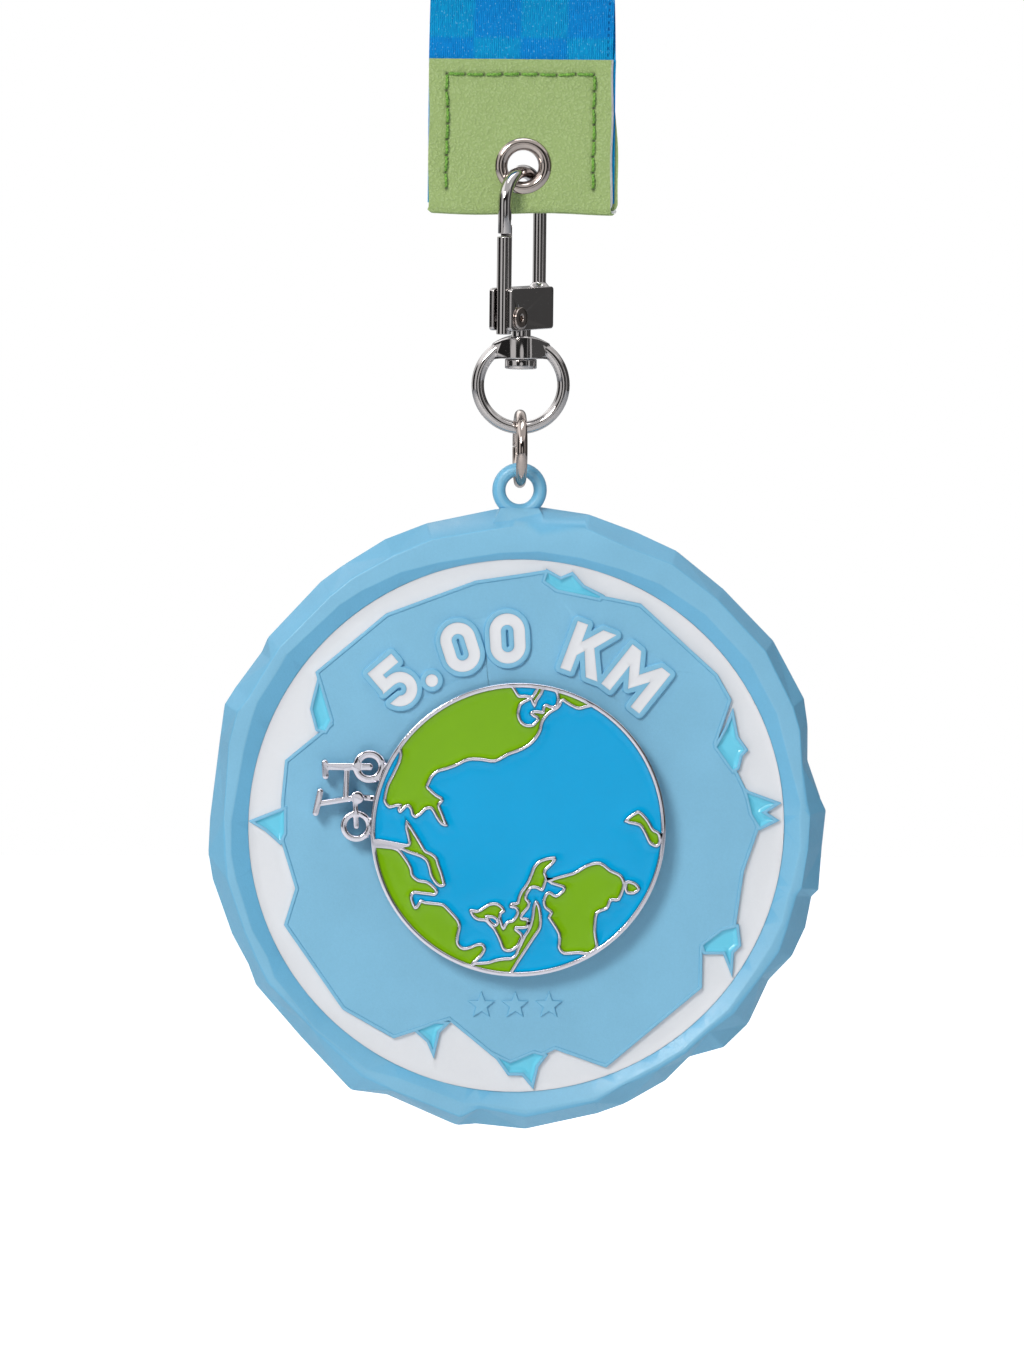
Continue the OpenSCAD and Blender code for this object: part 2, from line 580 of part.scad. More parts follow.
module figure_5() {
    translate([-2, 1.9]) square([4.2, 1.5]);
    translate([-2, 0]) square([1.5, 3.4]);
    translate([-2, -0.1]) square([2, 1.4]);
    difference() {
        translate([0, -1.05]) circle(r = 2.35, $fn = 36);
        translate([0, -1.05]) circle(r = 0.9, $fn = 24);
        translate([-3, -1.7]) square([3, 1.6]);
    }
}

module figure_dot() {
    translate([0, -2.6]) circle(r = 0.85, $fn = 24);
}

module figure_k() {
    polygon([[-2.2, -3.4], [-0.7, -3.4], [-0.7, -1], [0.1, -0.1], [1.5, -3.4], [3.2, -3.4], [1.2, 0.7],
        [3.4, 3.4], [1.5, 3.4], [-0.7, 0.9], [-0.7, 3.4], [-2.2, 3.4]]);
}

module figure_m() {
    polygon([[-3.3, -3.4], [-1.8, -3.4], [-1.8, 0.9], [0, -1.7], [1.8, 0.9], [1.8, -3.4], [3.3, -3.4],
        [3.3, 3.4], [1.8, 3.4], [0, 0.7], [-1.8, 3.4], [-3.3, 3.4]]);
}

module on_arc(angle) {
    rotate(angle - 90) translate([0, figures_r]) children();
}

module figures() {
    on_arc(130.5) figure_5();
    on_arc(120.5) figure_dot();
    on_arc(108) figure_0();
    on_arc(93.5) figure_0();
    on_arc(70) figure_k();
    on_arc(52) figure_m();
}

module star(r) {
    polygon([for (i = [0 : 9]) let (s = i % 2 == 0 ? r : 0.42 * r) [s * sin(36 * i), s * cos(36 * i)]]);
}

module cracks(inset) {
    for (c = CRACKS)
        offset(delta = -inset) polygon(c);
}

// Raised line along the floe's edge
module floe_ridge() {
    difference() {
        polygon(FLOE);
        offset(delta = -ridge_w) polygon(FLOE);
    }
}

module medal_casting() {
    star_step = 4.6;
    color("lightskyblue") lower() difference() {
        union() {
            medal_body();
            facing(plateau_front, 0) polygon(FLOE);
            facing(plateau_front - ridge_h, 0) floe_ridge();
            facing(plateau_front - ridge_h, 0) cracks(0);
            facing(figure_front, 0) offset(r = border, $fn = 20) figures();
            for (x = [-1 : 1])
                translate([star_step * x, 0, -24.4]) facing(plateau_front - 0.35, 0) star(1.9);
            medal_loop();
        }
        loop_hole();
        facing(rim_front - 2, plateau_front + 0.45) cracks(0.4);
        facing(rim_front - 2, figure_front + 0.35) figures();
        disc(stud_r + pivot_play, rim_front - 1, back + 1);
        disc(4.4, washer_floor, back + 1);
        back_field();
    }
}

// Sunk field on the back, between the rim and the boss round the pivot
module back_field() {
    difference() {
        disc(field_r, back - field_t, back + 1);
        disc(boss_r, back - 1, back + 2);
        for (r = [12 : 4 : 32])
            difference() {
                disc(r + 0.25, back - 1, back - field_t + 0.2);
                disc(r - 0.25, back - 2, back + 2);
            }
    }
}

module ring_enamel() {
    color("white") lower() facing(white_front, channel_floor) difference() {
        circle(r = ring_r, $fn = 128);
        polygon(FLOE);
        cracks(0);
    }
}

module crack_enamel() {
    color("skyblue") lower() facing(plateau_front + 0.2, plateau_front + 0.45) cracks(0.4);
}

module inscription_enamel() {
    color("white") lower() facing(figure_front + 0.1, figure_front + 0.35) figures();
}

module spacer_washer() {
    color("whitesmoke") lower() difference() {
        disc(4.5, globe_back + pivot_play, plateau_front);
        disc(stud_r + pivot_play, globe_back - 1, 0);
    }
}

// Globe: enamel pockets between raised coasts, and the bicycle on the same casting
// A smooth closed curve through the points, turning tightly only where they do
function heading(a, b, c) = (c - a) / (norm(b - a) + norm(c - b)) * min(norm(b - a), norm(c - b));
function curved(p) = let (n = len(p)) [
    for (i = [0 : n - 1], t = [0, 1 / 3, 2 / 3])
        let (
            a = p[(i + n - 1) % n],
            b = p[i],
            c = p[(i + 1) % n],
            d = p[(i + 2) % n],
            s = 3 * t * t - 2 * t * t * t
        )
        b * (1 - s) + c * s + heading(a, b, c) * t * (1 - t) * (1 - t) - heading(b, c, d) * t * t * (1 - t)
];

module lands() {
    difference() {
        for (land = [AMERICA, REEF, ASIA, KAMCHATKA, INDIES, JAVA, AUSTRALIA, TASMANIA, ZEALAND])
            polygon(curved(land));
        polygon(curved(LAKE));
    }
}

module land_shape() {
    difference() {
        intersection() {
            offset(delta = -coast_w / 2) lands();
            circle(r = globe_r - 0.6, $fn = 96);
        }
        polygon(SPIT);
    }
}

module ocean_shape() {
    difference() {
        circle(r = globe_r - 0.6, $fn = 96);
        offset(delta = coast_w / 2) lands();
        polygon(SPIT);
    }
}

module wheel(at, r, hole) {
    translate(at) difference() {
        circle(r = r, $fn = 40);
        circle(r = hole, $fn = 32);
    }
}

module bicycle() {
    wheel([-20.2, 8.5], 2.25, 1.2);
    wheel([-21.9, 0.4], 2.15, 1.3);
    bar([-20.2, 8.5], [-25.9, 8.5], 1);
    bar([-26.2, 9], [-26.1, 7.2], 0.9);
    bar([-23.2, 8.5], [-23.4, 4.1], 0.8);
    bar([-21.8, 4.3], [-26.7, 3.5], 0.8);
    bar([-26.8, 5.1], [-27.4, 2.2], 0.9);
    bar([-22.1, 4.1], [-21.9, 0.4], 0.75);
    translate([-21.8, 4.3]) circle(r = 0.9, $fn = 24);
}

module bicycle_bridges() {
    bar([-18.5, 4], [-21.8, 4.3], 0.8);
}

module globe_casting() {
    color("silver") lower() difference() {
        union() {
            disc(globe_r, globe_front, globe_back);
            facing(bike_front, bike_back) bicycle();
            facing(bike_front + 0.8, bike_back) bicycle_bridges();
        }
        facing(globe_front - 1, globe_front + pocket_t) land_shape();
        facing(globe_front - 1, globe_front + pocket_t) ocean_shape();
        disc(stud_r, globe_back - 0.9, globe_back + 1);
    }
}

module ocean_enamel() {
    color("deepskyblue") lower() facing(globe_front + 0.1, globe_front + pocket_t) ocean_shape();
}

module land_enamel() {
    color("olivedrab") lower() facing(globe_front + 0.1, globe_front + pocket_t) land_shape();
}

module pivot_stud() {
    tail_t = 0.5;
    washer_back = washer_floor + pivot_play + 0.6;
    color("gray") lower() {
        disc(stud_r, globe_back - 0.9, washer_back);
        disc(2.8, washer_back, washer_back + tail_t);
    }
}

module retaining_washer() {
    color("gray") lower() difference() {
        disc(4, washer_floor + pivot_play, washer_floor + pivot_play + 0.6);
        disc(stud_r, 0, back + 1);
    }
}

neck_ribbon();
leather_tab();
tab_stitching();
eyelet_barrel();
eyelet_washer();
clasp_frame();
gate_pin();
gate_spring();
swivel_post();
clasp_gate();
swivel_ring();
jump_ring();
medal_casting();
ring_enamel();
crack_enamel();
inscription_enamel();
spacer_washer();
globe_casting();
ocean_enamel();
land_enamel();
pivot_stud();
retaining_washer();
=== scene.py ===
import json
import math
import random

import bmesh
import bpy
import numpy as np
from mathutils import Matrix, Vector, geometry, kdtree
from mathutils.bvhtree import BVHTree


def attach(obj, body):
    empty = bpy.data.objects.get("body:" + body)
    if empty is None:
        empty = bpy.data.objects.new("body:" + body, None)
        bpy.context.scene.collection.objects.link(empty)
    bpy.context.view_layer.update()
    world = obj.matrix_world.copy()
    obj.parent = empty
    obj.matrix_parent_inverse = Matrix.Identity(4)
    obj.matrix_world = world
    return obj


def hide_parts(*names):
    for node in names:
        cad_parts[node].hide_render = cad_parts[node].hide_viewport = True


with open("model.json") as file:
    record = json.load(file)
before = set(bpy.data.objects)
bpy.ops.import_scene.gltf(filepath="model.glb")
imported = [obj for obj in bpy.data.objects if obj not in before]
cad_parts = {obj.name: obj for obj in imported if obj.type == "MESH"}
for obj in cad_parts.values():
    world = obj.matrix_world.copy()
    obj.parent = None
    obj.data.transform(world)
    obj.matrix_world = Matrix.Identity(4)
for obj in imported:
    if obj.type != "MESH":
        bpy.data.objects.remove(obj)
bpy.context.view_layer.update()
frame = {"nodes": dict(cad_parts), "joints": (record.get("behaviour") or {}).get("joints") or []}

MM = 0.001
NODES = frame["nodes"]
PIVOTS = {joint["name"]: Vector(joint["pos_m"]) for joint in frame["joints"]}
CENTRE = PIVOTS["globe_spin"]
EYELET = PIVOTS["clasp_swing"]
HANG = CENTRE.z

# Sizes of the soft parts, in millimetres
RIBBON_WIDTH = 24.7
RIBBON_THICK = 0.26
LEATHER_THICK = 0.5
STITCH_THICK = 0.44
EYELET_BORE = 2.85
MERGE_GAP = 0.012 * MM
HANG_MM = HANG / MM

FLOAT, COLOUR, VECTOR = "NodeSocketFloat", "NodeSocketColor", "NodeSocketVector"


def smooth_step(low, high, value):
    share = min(1.0, max(0.0, (value - low) / (high - low)))
    return share * share * (3 - 2 * share)


# ---------------------------------------------------------------- node helpers

def set_inputs(node, values):
    for key, value in values.items():
        node.inputs[key].default_value = value


def add_node(tree, kind, values=None, **settings):
    node = tree.nodes.new(kind)
    for key, value in settings.items():
        setattr(node, key, value)
    set_inputs(node, values or {})
    return node


def join(tree, source, target):
    tree.links.new(source, target)


def feed(tree, socket, value):
    """Sets an input, or links it where the value is another node's output."""
    if isinstance(value, (int, float, tuple)):
        socket.default_value = value
    else:
        join(tree, value, socket)


def chained(tree, source, *steps):
    """Runs a socket through nodes in turn, each given with the input it goes into."""
    for node, label in steps:
        join(tree, source, node.inputs[label])
        source = node.outputs[0]
    return source


def math_node(tree, operation, *values):
    node = add_node(tree, "ShaderNodeMath", operation=operation)
    for index, value in enumerate(values):
        feed(tree, node.inputs[index], value)
    return node.outputs[0]


def times(tree, first, second):
    return math_node(tree, "MULTIPLY", first, second)


def plus(tree, first, second):
    return math_node(tree, "ADD", first, second)


def mix_colour(tree, factor, first, second, blend="MIX"):
    node = add_node(tree, "ShaderNodeMix", data_type="RGBA", blend_type=blend)
    for index, value in ((0, factor), (6, first), (7, second)):
        feed(tree, node.inputs[index], value)
    return node.outputs[2]


def ramp(tree, factor, low, high, from_value=0.0, to_value=1.0):
    node = add_node(tree, "ShaderNodeMapRange", clamp=True, interpolation_type="SMOOTHSTEP")
    set_inputs(node, {1: low, 2: high, 3: from_value, 4: to_value})
    join(tree, factor, node.inputs[0])
    return node.outputs[0]


def grey_of(tree, level):
    node = add_node(tree, "ShaderNodeCombineColor")
    for index in range(3):
        join(tree, level, node.inputs[index])
    return node.outputs[0]


def stretched(tree, vector, scale):
    mapping = add_node(tree, "ShaderNodeMapping")
    feed(tree, mapping.inputs["Scale"], scale)
    return chained(tree, vector, (mapping, "Vector"))


def object_coords(tree, scale=(1, 1, 1)):
    return stretched(tree, add_node(tree, "ShaderNodeTexCoord").outputs["Object"], scale)


def noise(tree, vector, scale, detail=2.0, roughness=0.5):
    node = add_node(tree, "ShaderNodeTexNoise")
    for label, value in (("Vector", vector), ("Scale", scale), ("Detail", detail), ("Roughness", roughness)):
        feed(tree, node.inputs[label], value)
    return node.outputs["Fac"]


def new_group(name, inputs, outputs):
    tree = bpy.data.node_groups.new(name, "ShaderNodeTree")
    for label, kind, value in inputs:
        socket = tree.interface.new_socket(label, in_out="INPUT", socket_type=kind)
        socket.default_value = value
    for label, kind in outputs:
        tree.interface.new_socket(label, in_out="OUTPUT", socket_type=kind)
    return tree, tree.nodes.new("NodeGroupInput"), tree.nodes.new("NodeGroupOutput")


def place_group(tree, group, values):
    node = tree.nodes.new("ShaderNodeGroup")
    node.node_tree = group
    set_inputs(node, values)
    return node


def rgb(red, green, blue):
    """An sRGB colour in 0 to 255 as a linear one."""
    parts = []
    for level in (red, green, blue):
        level /= 255
        parts.append(level / 12.92 if level <= 0.04045 else ((level + 0.055) / 1.055) ** 2.4)
    return (*parts, 1.0)


# ---------------------------------------------------------------- shared effects

def tone_drift_group():
    """Slow changes of tone over a surface, with finer mottling on top."""
    inputs = [("Colour", COLOUR, (1, 1, 1, 1)), ("Drift", FLOAT, 0.05),
              ("Drift scale", FLOAT, 60.0), ("Mottle", FLOAT, 0.03),
              ("Mottle scale", FLOAT, 2500.0)]
    tree, given, out = new_group("tone_drift", inputs, [("Colour", COLOUR)])
    coords = object_coords(tree)
    slow = noise(tree, coords, given.outputs["Drift scale"], 2.0)
    fine = noise(tree, coords, given.outputs["Mottle scale"], 3.0, 0.6)
    level = 1.0
    for cloud, label in ((slow, "Drift"), (fine, "Mottle")):
        centred = times(tree, math_node(tree, "SUBTRACT", cloud, 0.5), 4.0)
        level = plus(tree, times(tree, centred, given.outputs[label]), level)
    toned = mix_colour(tree, 1.0, given.outputs["Colour"], grey_of(tree, level), "MULTIPLY")
    join(tree, toned, out.inputs[0])
    return tree


def grain_group():
    """A fine grain's height, from two sizes of noise."""
    inputs = [("Scale", FLOAT, 3000.0), ("Coarse share", FLOAT, 0.4)]
    tree, given, out = new_group("surface_grain", inputs, [("Height", FLOAT)])
    coords = object_coords(tree)
    fine = noise(tree, coords, given.outputs["Scale"], 3.0, 0.55)
    coarse = noise(tree, coords, times(tree, given.outputs["Scale"], 0.22), 2.0)
    join(tree, plus(tree, fine, times(tree, coarse, given.outputs["Coarse share"])), out.inputs[0])
    return tree


def polish_group():
    """Roughness and height of polished metal, with faint marks drawn out along Z."""
    inputs = [("Smooth", FLOAT, 0.1), ("Dull", FLOAT, 0.3),
              ("Mark scale", FLOAT, 900.0)]
    outputs = [("Roughness", FLOAT), ("Height", FLOAT)]
    tree, given, out = new_group("polish_marks", inputs, outputs)
    marks = noise(tree, object_coords(tree, (1, 1, 0.08)), given.outputs["Mark scale"], 3.0, 0.6)
    cloud = noise(tree, object_coords(tree), 260.0, 3.0)
    both = times(tree, plus(tree, marks, cloud), 0.5)
    spread = ramp(tree, both, 0.35, 0.65)
    span = math_node(tree, "SUBTRACT", given.outputs["Dull"], given.outputs["Smooth"])
    rough = math_node(tree, "MULTIPLY_ADD", spread, span, given.outputs["Smooth"])
    join(tree, rough, out.inputs[0])
    join(tree, marks, out.inputs[1])
    return tree


def enamel_group():
    """Enamel with painted shade beside its walls, and a slow swell in its surface."""
    inputs = [("Colour", COLOUR, (1, 1, 1, 1)), ("Shade", FLOAT, 0.12)]
    outputs = [("Colour", COLOUR), ("Height", FLOAT)]
    tree, given, out = new_group("enamel_painted_shade_and_swell", inputs, outputs)
    # Painted shade: the colour darkens towards the walls, by the mark each point carries.
    wall = add_node(tree, "ShaderNodeAttribute", attribute_name="painted_wall_shade").outputs["Fac"]
    shaded = times(tree, wall, given.outputs["Shade"])
    darkened = mix_colour(tree, shaded, given.outputs["Colour"], (0, 0, 0, 1), "MULTIPLY")
    join(tree, darkened, out.inputs[0])
    join(tree, noise(tree, object_coords(tree), 140.0, 1.0), out.inputs[1])
    return tree


def fibre_group():
    """Height of fine fibres, which may be drawn out along Z."""
    inputs = [("Scale", FLOAT, 4000.0), ("Detail", FLOAT, 3.0),
              ("Stretch", VECTOR, (1, 1, 1))]
    tree, given, out = new_group("fine_fibres", inputs, [("Height", FLOAT)])
    coords = object_coords(tree, given.outputs["Stretch"])
    fibres = noise(tree, coords, given.outputs["Scale"], given.outputs["Detail"], 0.7)
    join(tree, fibres, out.inputs[0])
    return tree


DRIFT = tone_drift_group()
GRAIN = grain_group()
POLISH = polish_group()
ENAMEL = enamel_group()
FIBRES = fibre_group()


# ---------------------------------------------------------------- materials

def new_material(name, **shader_values):
    material = bpy.data.materials.new(name)
    material.use_nodes = True
    tree = material.node_tree
    shader = tree.nodes["Principled BSDF"]
    set_inputs(shader, {key.replace("_", " "): value for key, value in shader_values.items()})
    return material, tree, shader


def drifted(tree, colour, drift, drift_scale, mottle, mottle_scale):
    values = {"Drift": drift, "Drift scale": drift_scale, "Mottle": mottle, "Mottle scale": mottle_scale}
    node = place_group(tree, DRIFT, values)
    feed(tree, node.inputs["Colour"], colour)
    return node.outputs["Colour"]


def bumped(tree, shader, height, distance):
    bump = add_node(tree, "ShaderNodeBump", {"Distance": distance, "Strength": 1.0})
    join(tree, height, bump.inputs["Height"])
    join(tree, bump.outputs["Normal"], shader.inputs["Normal"])


def grained(tree, shader, scale, distance, coarse=0.4):
    node = place_group(tree, GRAIN, {"Scale": scale, "Coarse share": coarse})
    bumped(tree, shader, node.outputs["Height"], distance)
    return node.outputs["Height"]


def cast_paint():
    """Satin blue paint over the medal's casting, with painted shade: a deeper blue on faces turned a little
    away.
    """
    material, tree, shader = new_material("satin_blue_paint", Roughness=0.4, Specular_IOR_Level=0.5)
    # Painted shade: faces turned a little away from the viewer take the deeper blue, which fades back at
    # steeper tilts.
    turned_away = add_node(tree, "ShaderNodeLayerWeight", {"Blend": 0.5}).outputs["Facing"]
    steep = ramp(tree, turned_away, 0.14, 0.3, 0.0, 0.4)
    tilt_painted_shade = math_node(tree, "SUBTRACT", ramp(tree, turned_away, 0.02, 0.08), steep)
    tone = mix_colour(tree, tilt_painted_shade, rgb(123, 181, 210), rgb(104, 174, 209))
    join(tree, drifted(tree, tone, 0.035, 130.0, 0.03, 3200.0), shader.inputs["Base Color"])
    height = grained(tree, shader, 4200.0, 0.000018, 0.5)
    join(tree, ramp(tree, height, 0.5, 0.9, 0.32, 0.46), shader.inputs["Roughness"])
    return material


def enamel_paint(name, colour, drift, roughness=0.16, coat=0.6, shade=0.12):
    """Hard enamel: a glossy coat over a slightly uneven fill, with painted shade beside its walls."""
    material, tree, shader = new_material(name, Roughness=roughness, Coat_Weight=coat, Coat_Roughness=0.05,
                                          Specular_IOR_Level=0.15)
    node = place_group(tree, ENAMEL, {"Shade": shade})
    join(tree, drifted(tree, colour, drift, 90.0, 0.008, 1800.0), node.inputs["Colour"])
    join(tree, node.outputs["Colour"], shader.inputs["Base Color"])
    bumped(tree, shader, node.outputs["Height"], 0.00004)
    return material


def plated_metal(name, colour, smooth, dull, drift=0.03):
    """Plated, polished metal with faint marks."""
    material, tree, shader = new_material(name, Metallic=1.0, Roughness=smooth)
    join(tree, drifted(tree, colour, drift, 220.0, 0.012, 3500.0), shader.inputs["Base Color"])
    node = place_group(tree, POLISH, {"Smooth": smooth, "Dull": dull})
    join(tree, node.outputs["Roughness"], shader.inputs["Roughness"])
    bumped(tree, shader, node.outputs["Height"], 0.0000007)
    return material


def nylon():
    material, tree, shader = new_material("nylon_washer", Roughness=0.45)
    join(tree, drifted(tree, rgb(228, 228, 222), 0.03, 300.0, 0.02, 2500.0), shader.inputs["Base Color"])
    grained(tree, shader, 2600.0, 0.00001)
    return material


def leather_face():
    """Pebbled green leather, with painted highlights on the pebble tops and painted shade at the needle
    holes.
    """
    material, tree, shader = new_material("green_leather", Roughness=0.62, Sheen_Weight=0.03)
    hole = add_node(tree, "ShaderNodeAttribute", attribute_name="needle_hole_shade").outputs["Fac"]
    base = drifted(tree, rgb(147, 169, 104), 0.025, 140.0, 0.025, 1500.0)
    coords = object_coords(tree)
    cells = add_node(tree, "ShaderNodeTexVoronoi", {"Scale": 3300.0}, feature="SMOOTH_F1")
    join(tree, coords, cells.inputs["Vector"])
    pebble = ramp(tree, cells.outputs["Distance"], 0.05, 0.75, 1.0, 0.0)
    creases = noise(tree, coords, 2200.0, 3.0, 0.6)
    height = math_node(tree, "MULTIPLY_ADD", creases, 0.6, pebble)
    # Painted highlight: the pebble tops are mixed towards a paler green.
    painted_pebble_highlight = mix_colour(tree, ramp(tree, pebble, 0.45, 0.85, 0.0, 0.35), base, rgb(176, 196, 138))
    # Painted shade: a dark green spot at each needle hole.
    hole_shade = times(tree, hole, 0.95)
    join(tree, mix_colour(tree, hole_shade, painted_pebble_highlight, rgb(34, 54, 16)), shader.inputs["Base Color"])
    join(tree, ramp(tree, pebble, 0.2, 0.9, 0.7, 0.52), shader.inputs["Roughness"])
    bumped(tree, shader, height, 0.00006)
    return material


def leather_edge():
    """The cut edge of the leather, with its pale fibrous core."""
    material, tree, shader = new_material("leather_cut_edge", Roughness=0.85)
    node = place_group(tree, FIBRES, {"Scale": 3800.0, "Detail": 4.0, "Stretch": (1, 1, 0.4)})
    fibres = node.outputs["Height"]
    colour = mix_colour(tree, ramp(tree, fibres, 0.35, 0.65), rgb(214, 214, 206), rgb(248, 248, 244))
    join(tree, drifted(tree, colour, 0.03, 400.0, 0.03, 3000.0), shader.inputs["Base Color"])
    bumped(tree, shader, fibres, 0.00006)
    return material


def printed_blocks(tree, uv, across, along):
    """Soft-edged blocks of two blues."""
    soft = 0.16
    shift = times(tree, noise(tree, uv, 0.5, 2.0), 0.6)
    wave_u = math_node(tree, "SINE", times(tree, plus(tree, across, shift), 0.5))
    turned = plus(tree, plus(tree, along, shift), 2.6)
    wave_v = math_node(tree, "SINE", times(tree, turned, 0.5))
    column = ramp(tree, wave_u, -soft, soft, -1.0, 1.0)
    row = ramp(tree, wave_v, -soft, soft, -1.0, 1.0)
    block = math_node(tree, "MULTIPLY_ADD", times(tree, column, row), 0.5, 0.5)
    return mix_colour(tree, block, rgb(4, 140, 216), rgb(6, 157, 212))


def thread_shading(tree, uv, warp, colour):
    """Uneven threads over the print, with painted shade between them and painted glints on a few."""
    thread_tone = noise(tree, stretched(tree, uv, (6.0, 0.7, 1)), 1.0, 3.0, 0.6)
    colour = mix_colour(tree, ramp(tree, thread_tone, 0.35, 0.65, 0.0, 0.45), colour, rgb(0, 96, 176))
    # Painted shade in the grooves between the threads.
    colour = mix_colour(tree, ramp(tree, warp, -1.0, 1.0, 0.05, 0.0), colour, rgb(0, 90, 160))
    # Painted glints: a few short stretches of thread mixed towards pale cyan.
    painted_glint = ramp(tree, noise(tree, stretched(tree, uv, (3.4, 1.3, 1)), 1.6, 2.0, 0.7), 0.62, 0.7)
    return mix_colour(tree, times(tree, painted_glint, 0.75), colour, rgb(130, 205, 235))


def edge_stitch_mask(tree, across, along):
    """A running line of small stitches beside the ribbon's edge."""
    edge = math_node(tree, "ABSOLUTE", math_node(tree, "SUBTRACT", across, RIBBON_WIDTH - 0.6))
    line = ramp(tree, edge, 0.05, 0.2, 1.0, 0.0)
    beat = math_node(tree, "SINE", times(tree, along, 7.0))
    return times(tree, line, ramp(tree, beat, -0.2, 0.5))


def ribbon_cloth():
    """Printed polyester webbing: soft blocks of two blues over a fine twill."""
    material, tree, shader = new_material("ribbon_weave", Roughness=0.7, Specular_IOR_Level=0.12)
    uv = add_node(tree, "ShaderNodeUVMap", uv_map="cloth").outputs["UV"]
    parts = add_node(tree, "ShaderNodeSeparateXYZ")
    join(tree, uv, parts.inputs[0])
    across, along = parts.outputs[0], parts.outputs[1]
    warp = math_node(tree, "SINE", times(tree, across, 24.0))
    weft = math_node(tree, "SINE", times(tree, along, 17.0))
    height = math_node(tree, "MULTIPLY_ADD", times(tree, warp, weft), 0.35, warp)
    colour = thread_shading(tree, uv, warp, printed_blocks(tree, uv, across, along))
    dots = edge_stitch_mask(tree, across, along)
    colour = mix_colour(tree, times(tree, dots, 0.65), colour, rgb(0, 62, 124))
    join(tree, colour, shader.inputs["Base Color"])
    bumped(tree, shader, math_node(tree, "MULTIPLY_ADD", dots, -2.0, height), 0.00003)
    return material


def thread_yarn():
    material, tree, shader = new_material("green_thread", Roughness=0.6, Sheen_Weight=0.1)
    fibres = place_group(tree, FIBRES, {"Scale": 5200.0, "Detail": 3.0}).outputs["Height"]
    colour = mix_colour(tree, ramp(tree, fibres, 0.3, 0.7), rgb(66, 124, 24), rgb(134, 186, 72))
    join(tree, drifted(tree, colour, 0.1, 500.0, 0.05, 4000.0), shader.inputs["Base Color"])
    bumped(tree, shader, fibres, 0.00003)
    return material


def floor_paint():
    material, tree, shader = new_material("pale_floor", Roughness=0.9)
    join(tree, drifted(tree, rgb(250, 250, 250), 0.004, 3.0, 0.002, 40.0), shader.inputs["Base Color"])
    shader.inputs["Emission Color"].default_value = (1, 1, 1, 1)
    seen = add_node(tree, "ShaderNodeLightPath").outputs["Is Camera Ray"]
    join(tree, math_node(tree, "MULTIPLY_ADD", seen, 0.8, 0.05), shader.inputs["Emission Strength"])
    return material


PAINT = cast_paint()
WHITE = enamel_paint("white_enamel", rgb(221, 222, 225), 0.012)
TEAL = enamel_paint("teal_enamel", rgb(106, 202, 228), 0.05, 0.12)
OCEAN = enamel_paint("blue_enamel", rgb(2, 158, 212), 0.03, coat=0.32, shade=0.7)
LAND = enamel_paint("green_enamel", rgb(118, 170, 10), 0.04, coat=0.32, shade=0.7)
SILVER = plated_metal("polished_nickel", rgb(217, 215, 224), 0.05, 0.13)
NICKEL = plated_metal("warm_nickel", rgb(176, 165, 159), 0.06, 0.14)
GUNMETAL = plated_metal("dark_nickel", rgb(182, 178, 177), 0.05, 0.12, 0.04)
SPRING = plated_metal("spring_wire", rgb(150, 150, 148), 0.2, 0.35)
NYLON = nylon()
LEATHER = leather_face()
LEATHER_CUT = leather_edge()
CLOTH = ribbon_cloth()
THREAD = thread_yarn()


# ---------------------------------------------------------------- mesh helpers

def new_object(name, mesh):
    obj = bpy.data.objects.new(name, mesh)
    bpy.context.scene.collection.objects.link(obj)
    return obj


def object_from(name, points, faces):
    mesh = bpy.data.meshes.new(name)
    mesh.from_pydata(points, [], faces)
    mesh.update()
    return new_object(name, mesh)


def baked(obj):
    """Turns the object's modifiers into its own plain mesh."""
    bpy.context.view_layer.update()
    graph = bpy.context.evaluated_depsgraph_get()
    mesh = bpy.data.meshes.new_from_object(obj.evaluated_get(graph), depsgraph=graph)
    obj.modifiers.clear()
    obj.data = mesh
    return obj


def fit(obj, body, nodes):
    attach(obj, body)
    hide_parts(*nodes)


def merged(node):
    """A CAD node's shape with its loose triangles merged into whole faces."""
    shape = bmesh.new()
    shape.from_mesh(NODES[node].data)
    bmesh.ops.remove_doubles(shape, verts=shape.verts, dist=MERGE_GAP)
    bmesh.ops.dissolve_limit(shape, angle_limit=math.radians(0.5), verts=shape.verts, edges=shape.edges,
                             delimit=set())
    return shape


def edge_angle(edge):
    return edge.calc_face_angle(0.0) if len(edge.link_faces) == 2 else 0.0


def mark_sharp(shape, degrees):
    for edge in shape.edges:
        edge.smooth = edge_angle(edge) < math.radians(degrees)


def drop_loose(shape):
    loose = [vertex for vertex in shape.verts if not vertex.link_faces]
    bmesh.ops.delete(shape, geom=loose, context="VERTS")


def round_edges(shape, chosen, width):
    """Breaks the chosen edges, and draws back any corner that would leave the original surface."""
    original = BVHTree.FromBMesh(shape)
    edges = [edge for edge in shape.edges if chosen(edge)]
    bmesh.ops.bevel(shape, geom=edges, offset=width * MM, offset_type="OFFSET", segments=2,
                    profile=0.5, affect="EDGES", clamp_overlap=False, loop_slide=True)
    for vertex in shape.verts:
        nearest, _, _, gap = original.find_nearest(vertex.co)
        if gap > 0.5 * width * MM:
            vertex.co = nearest


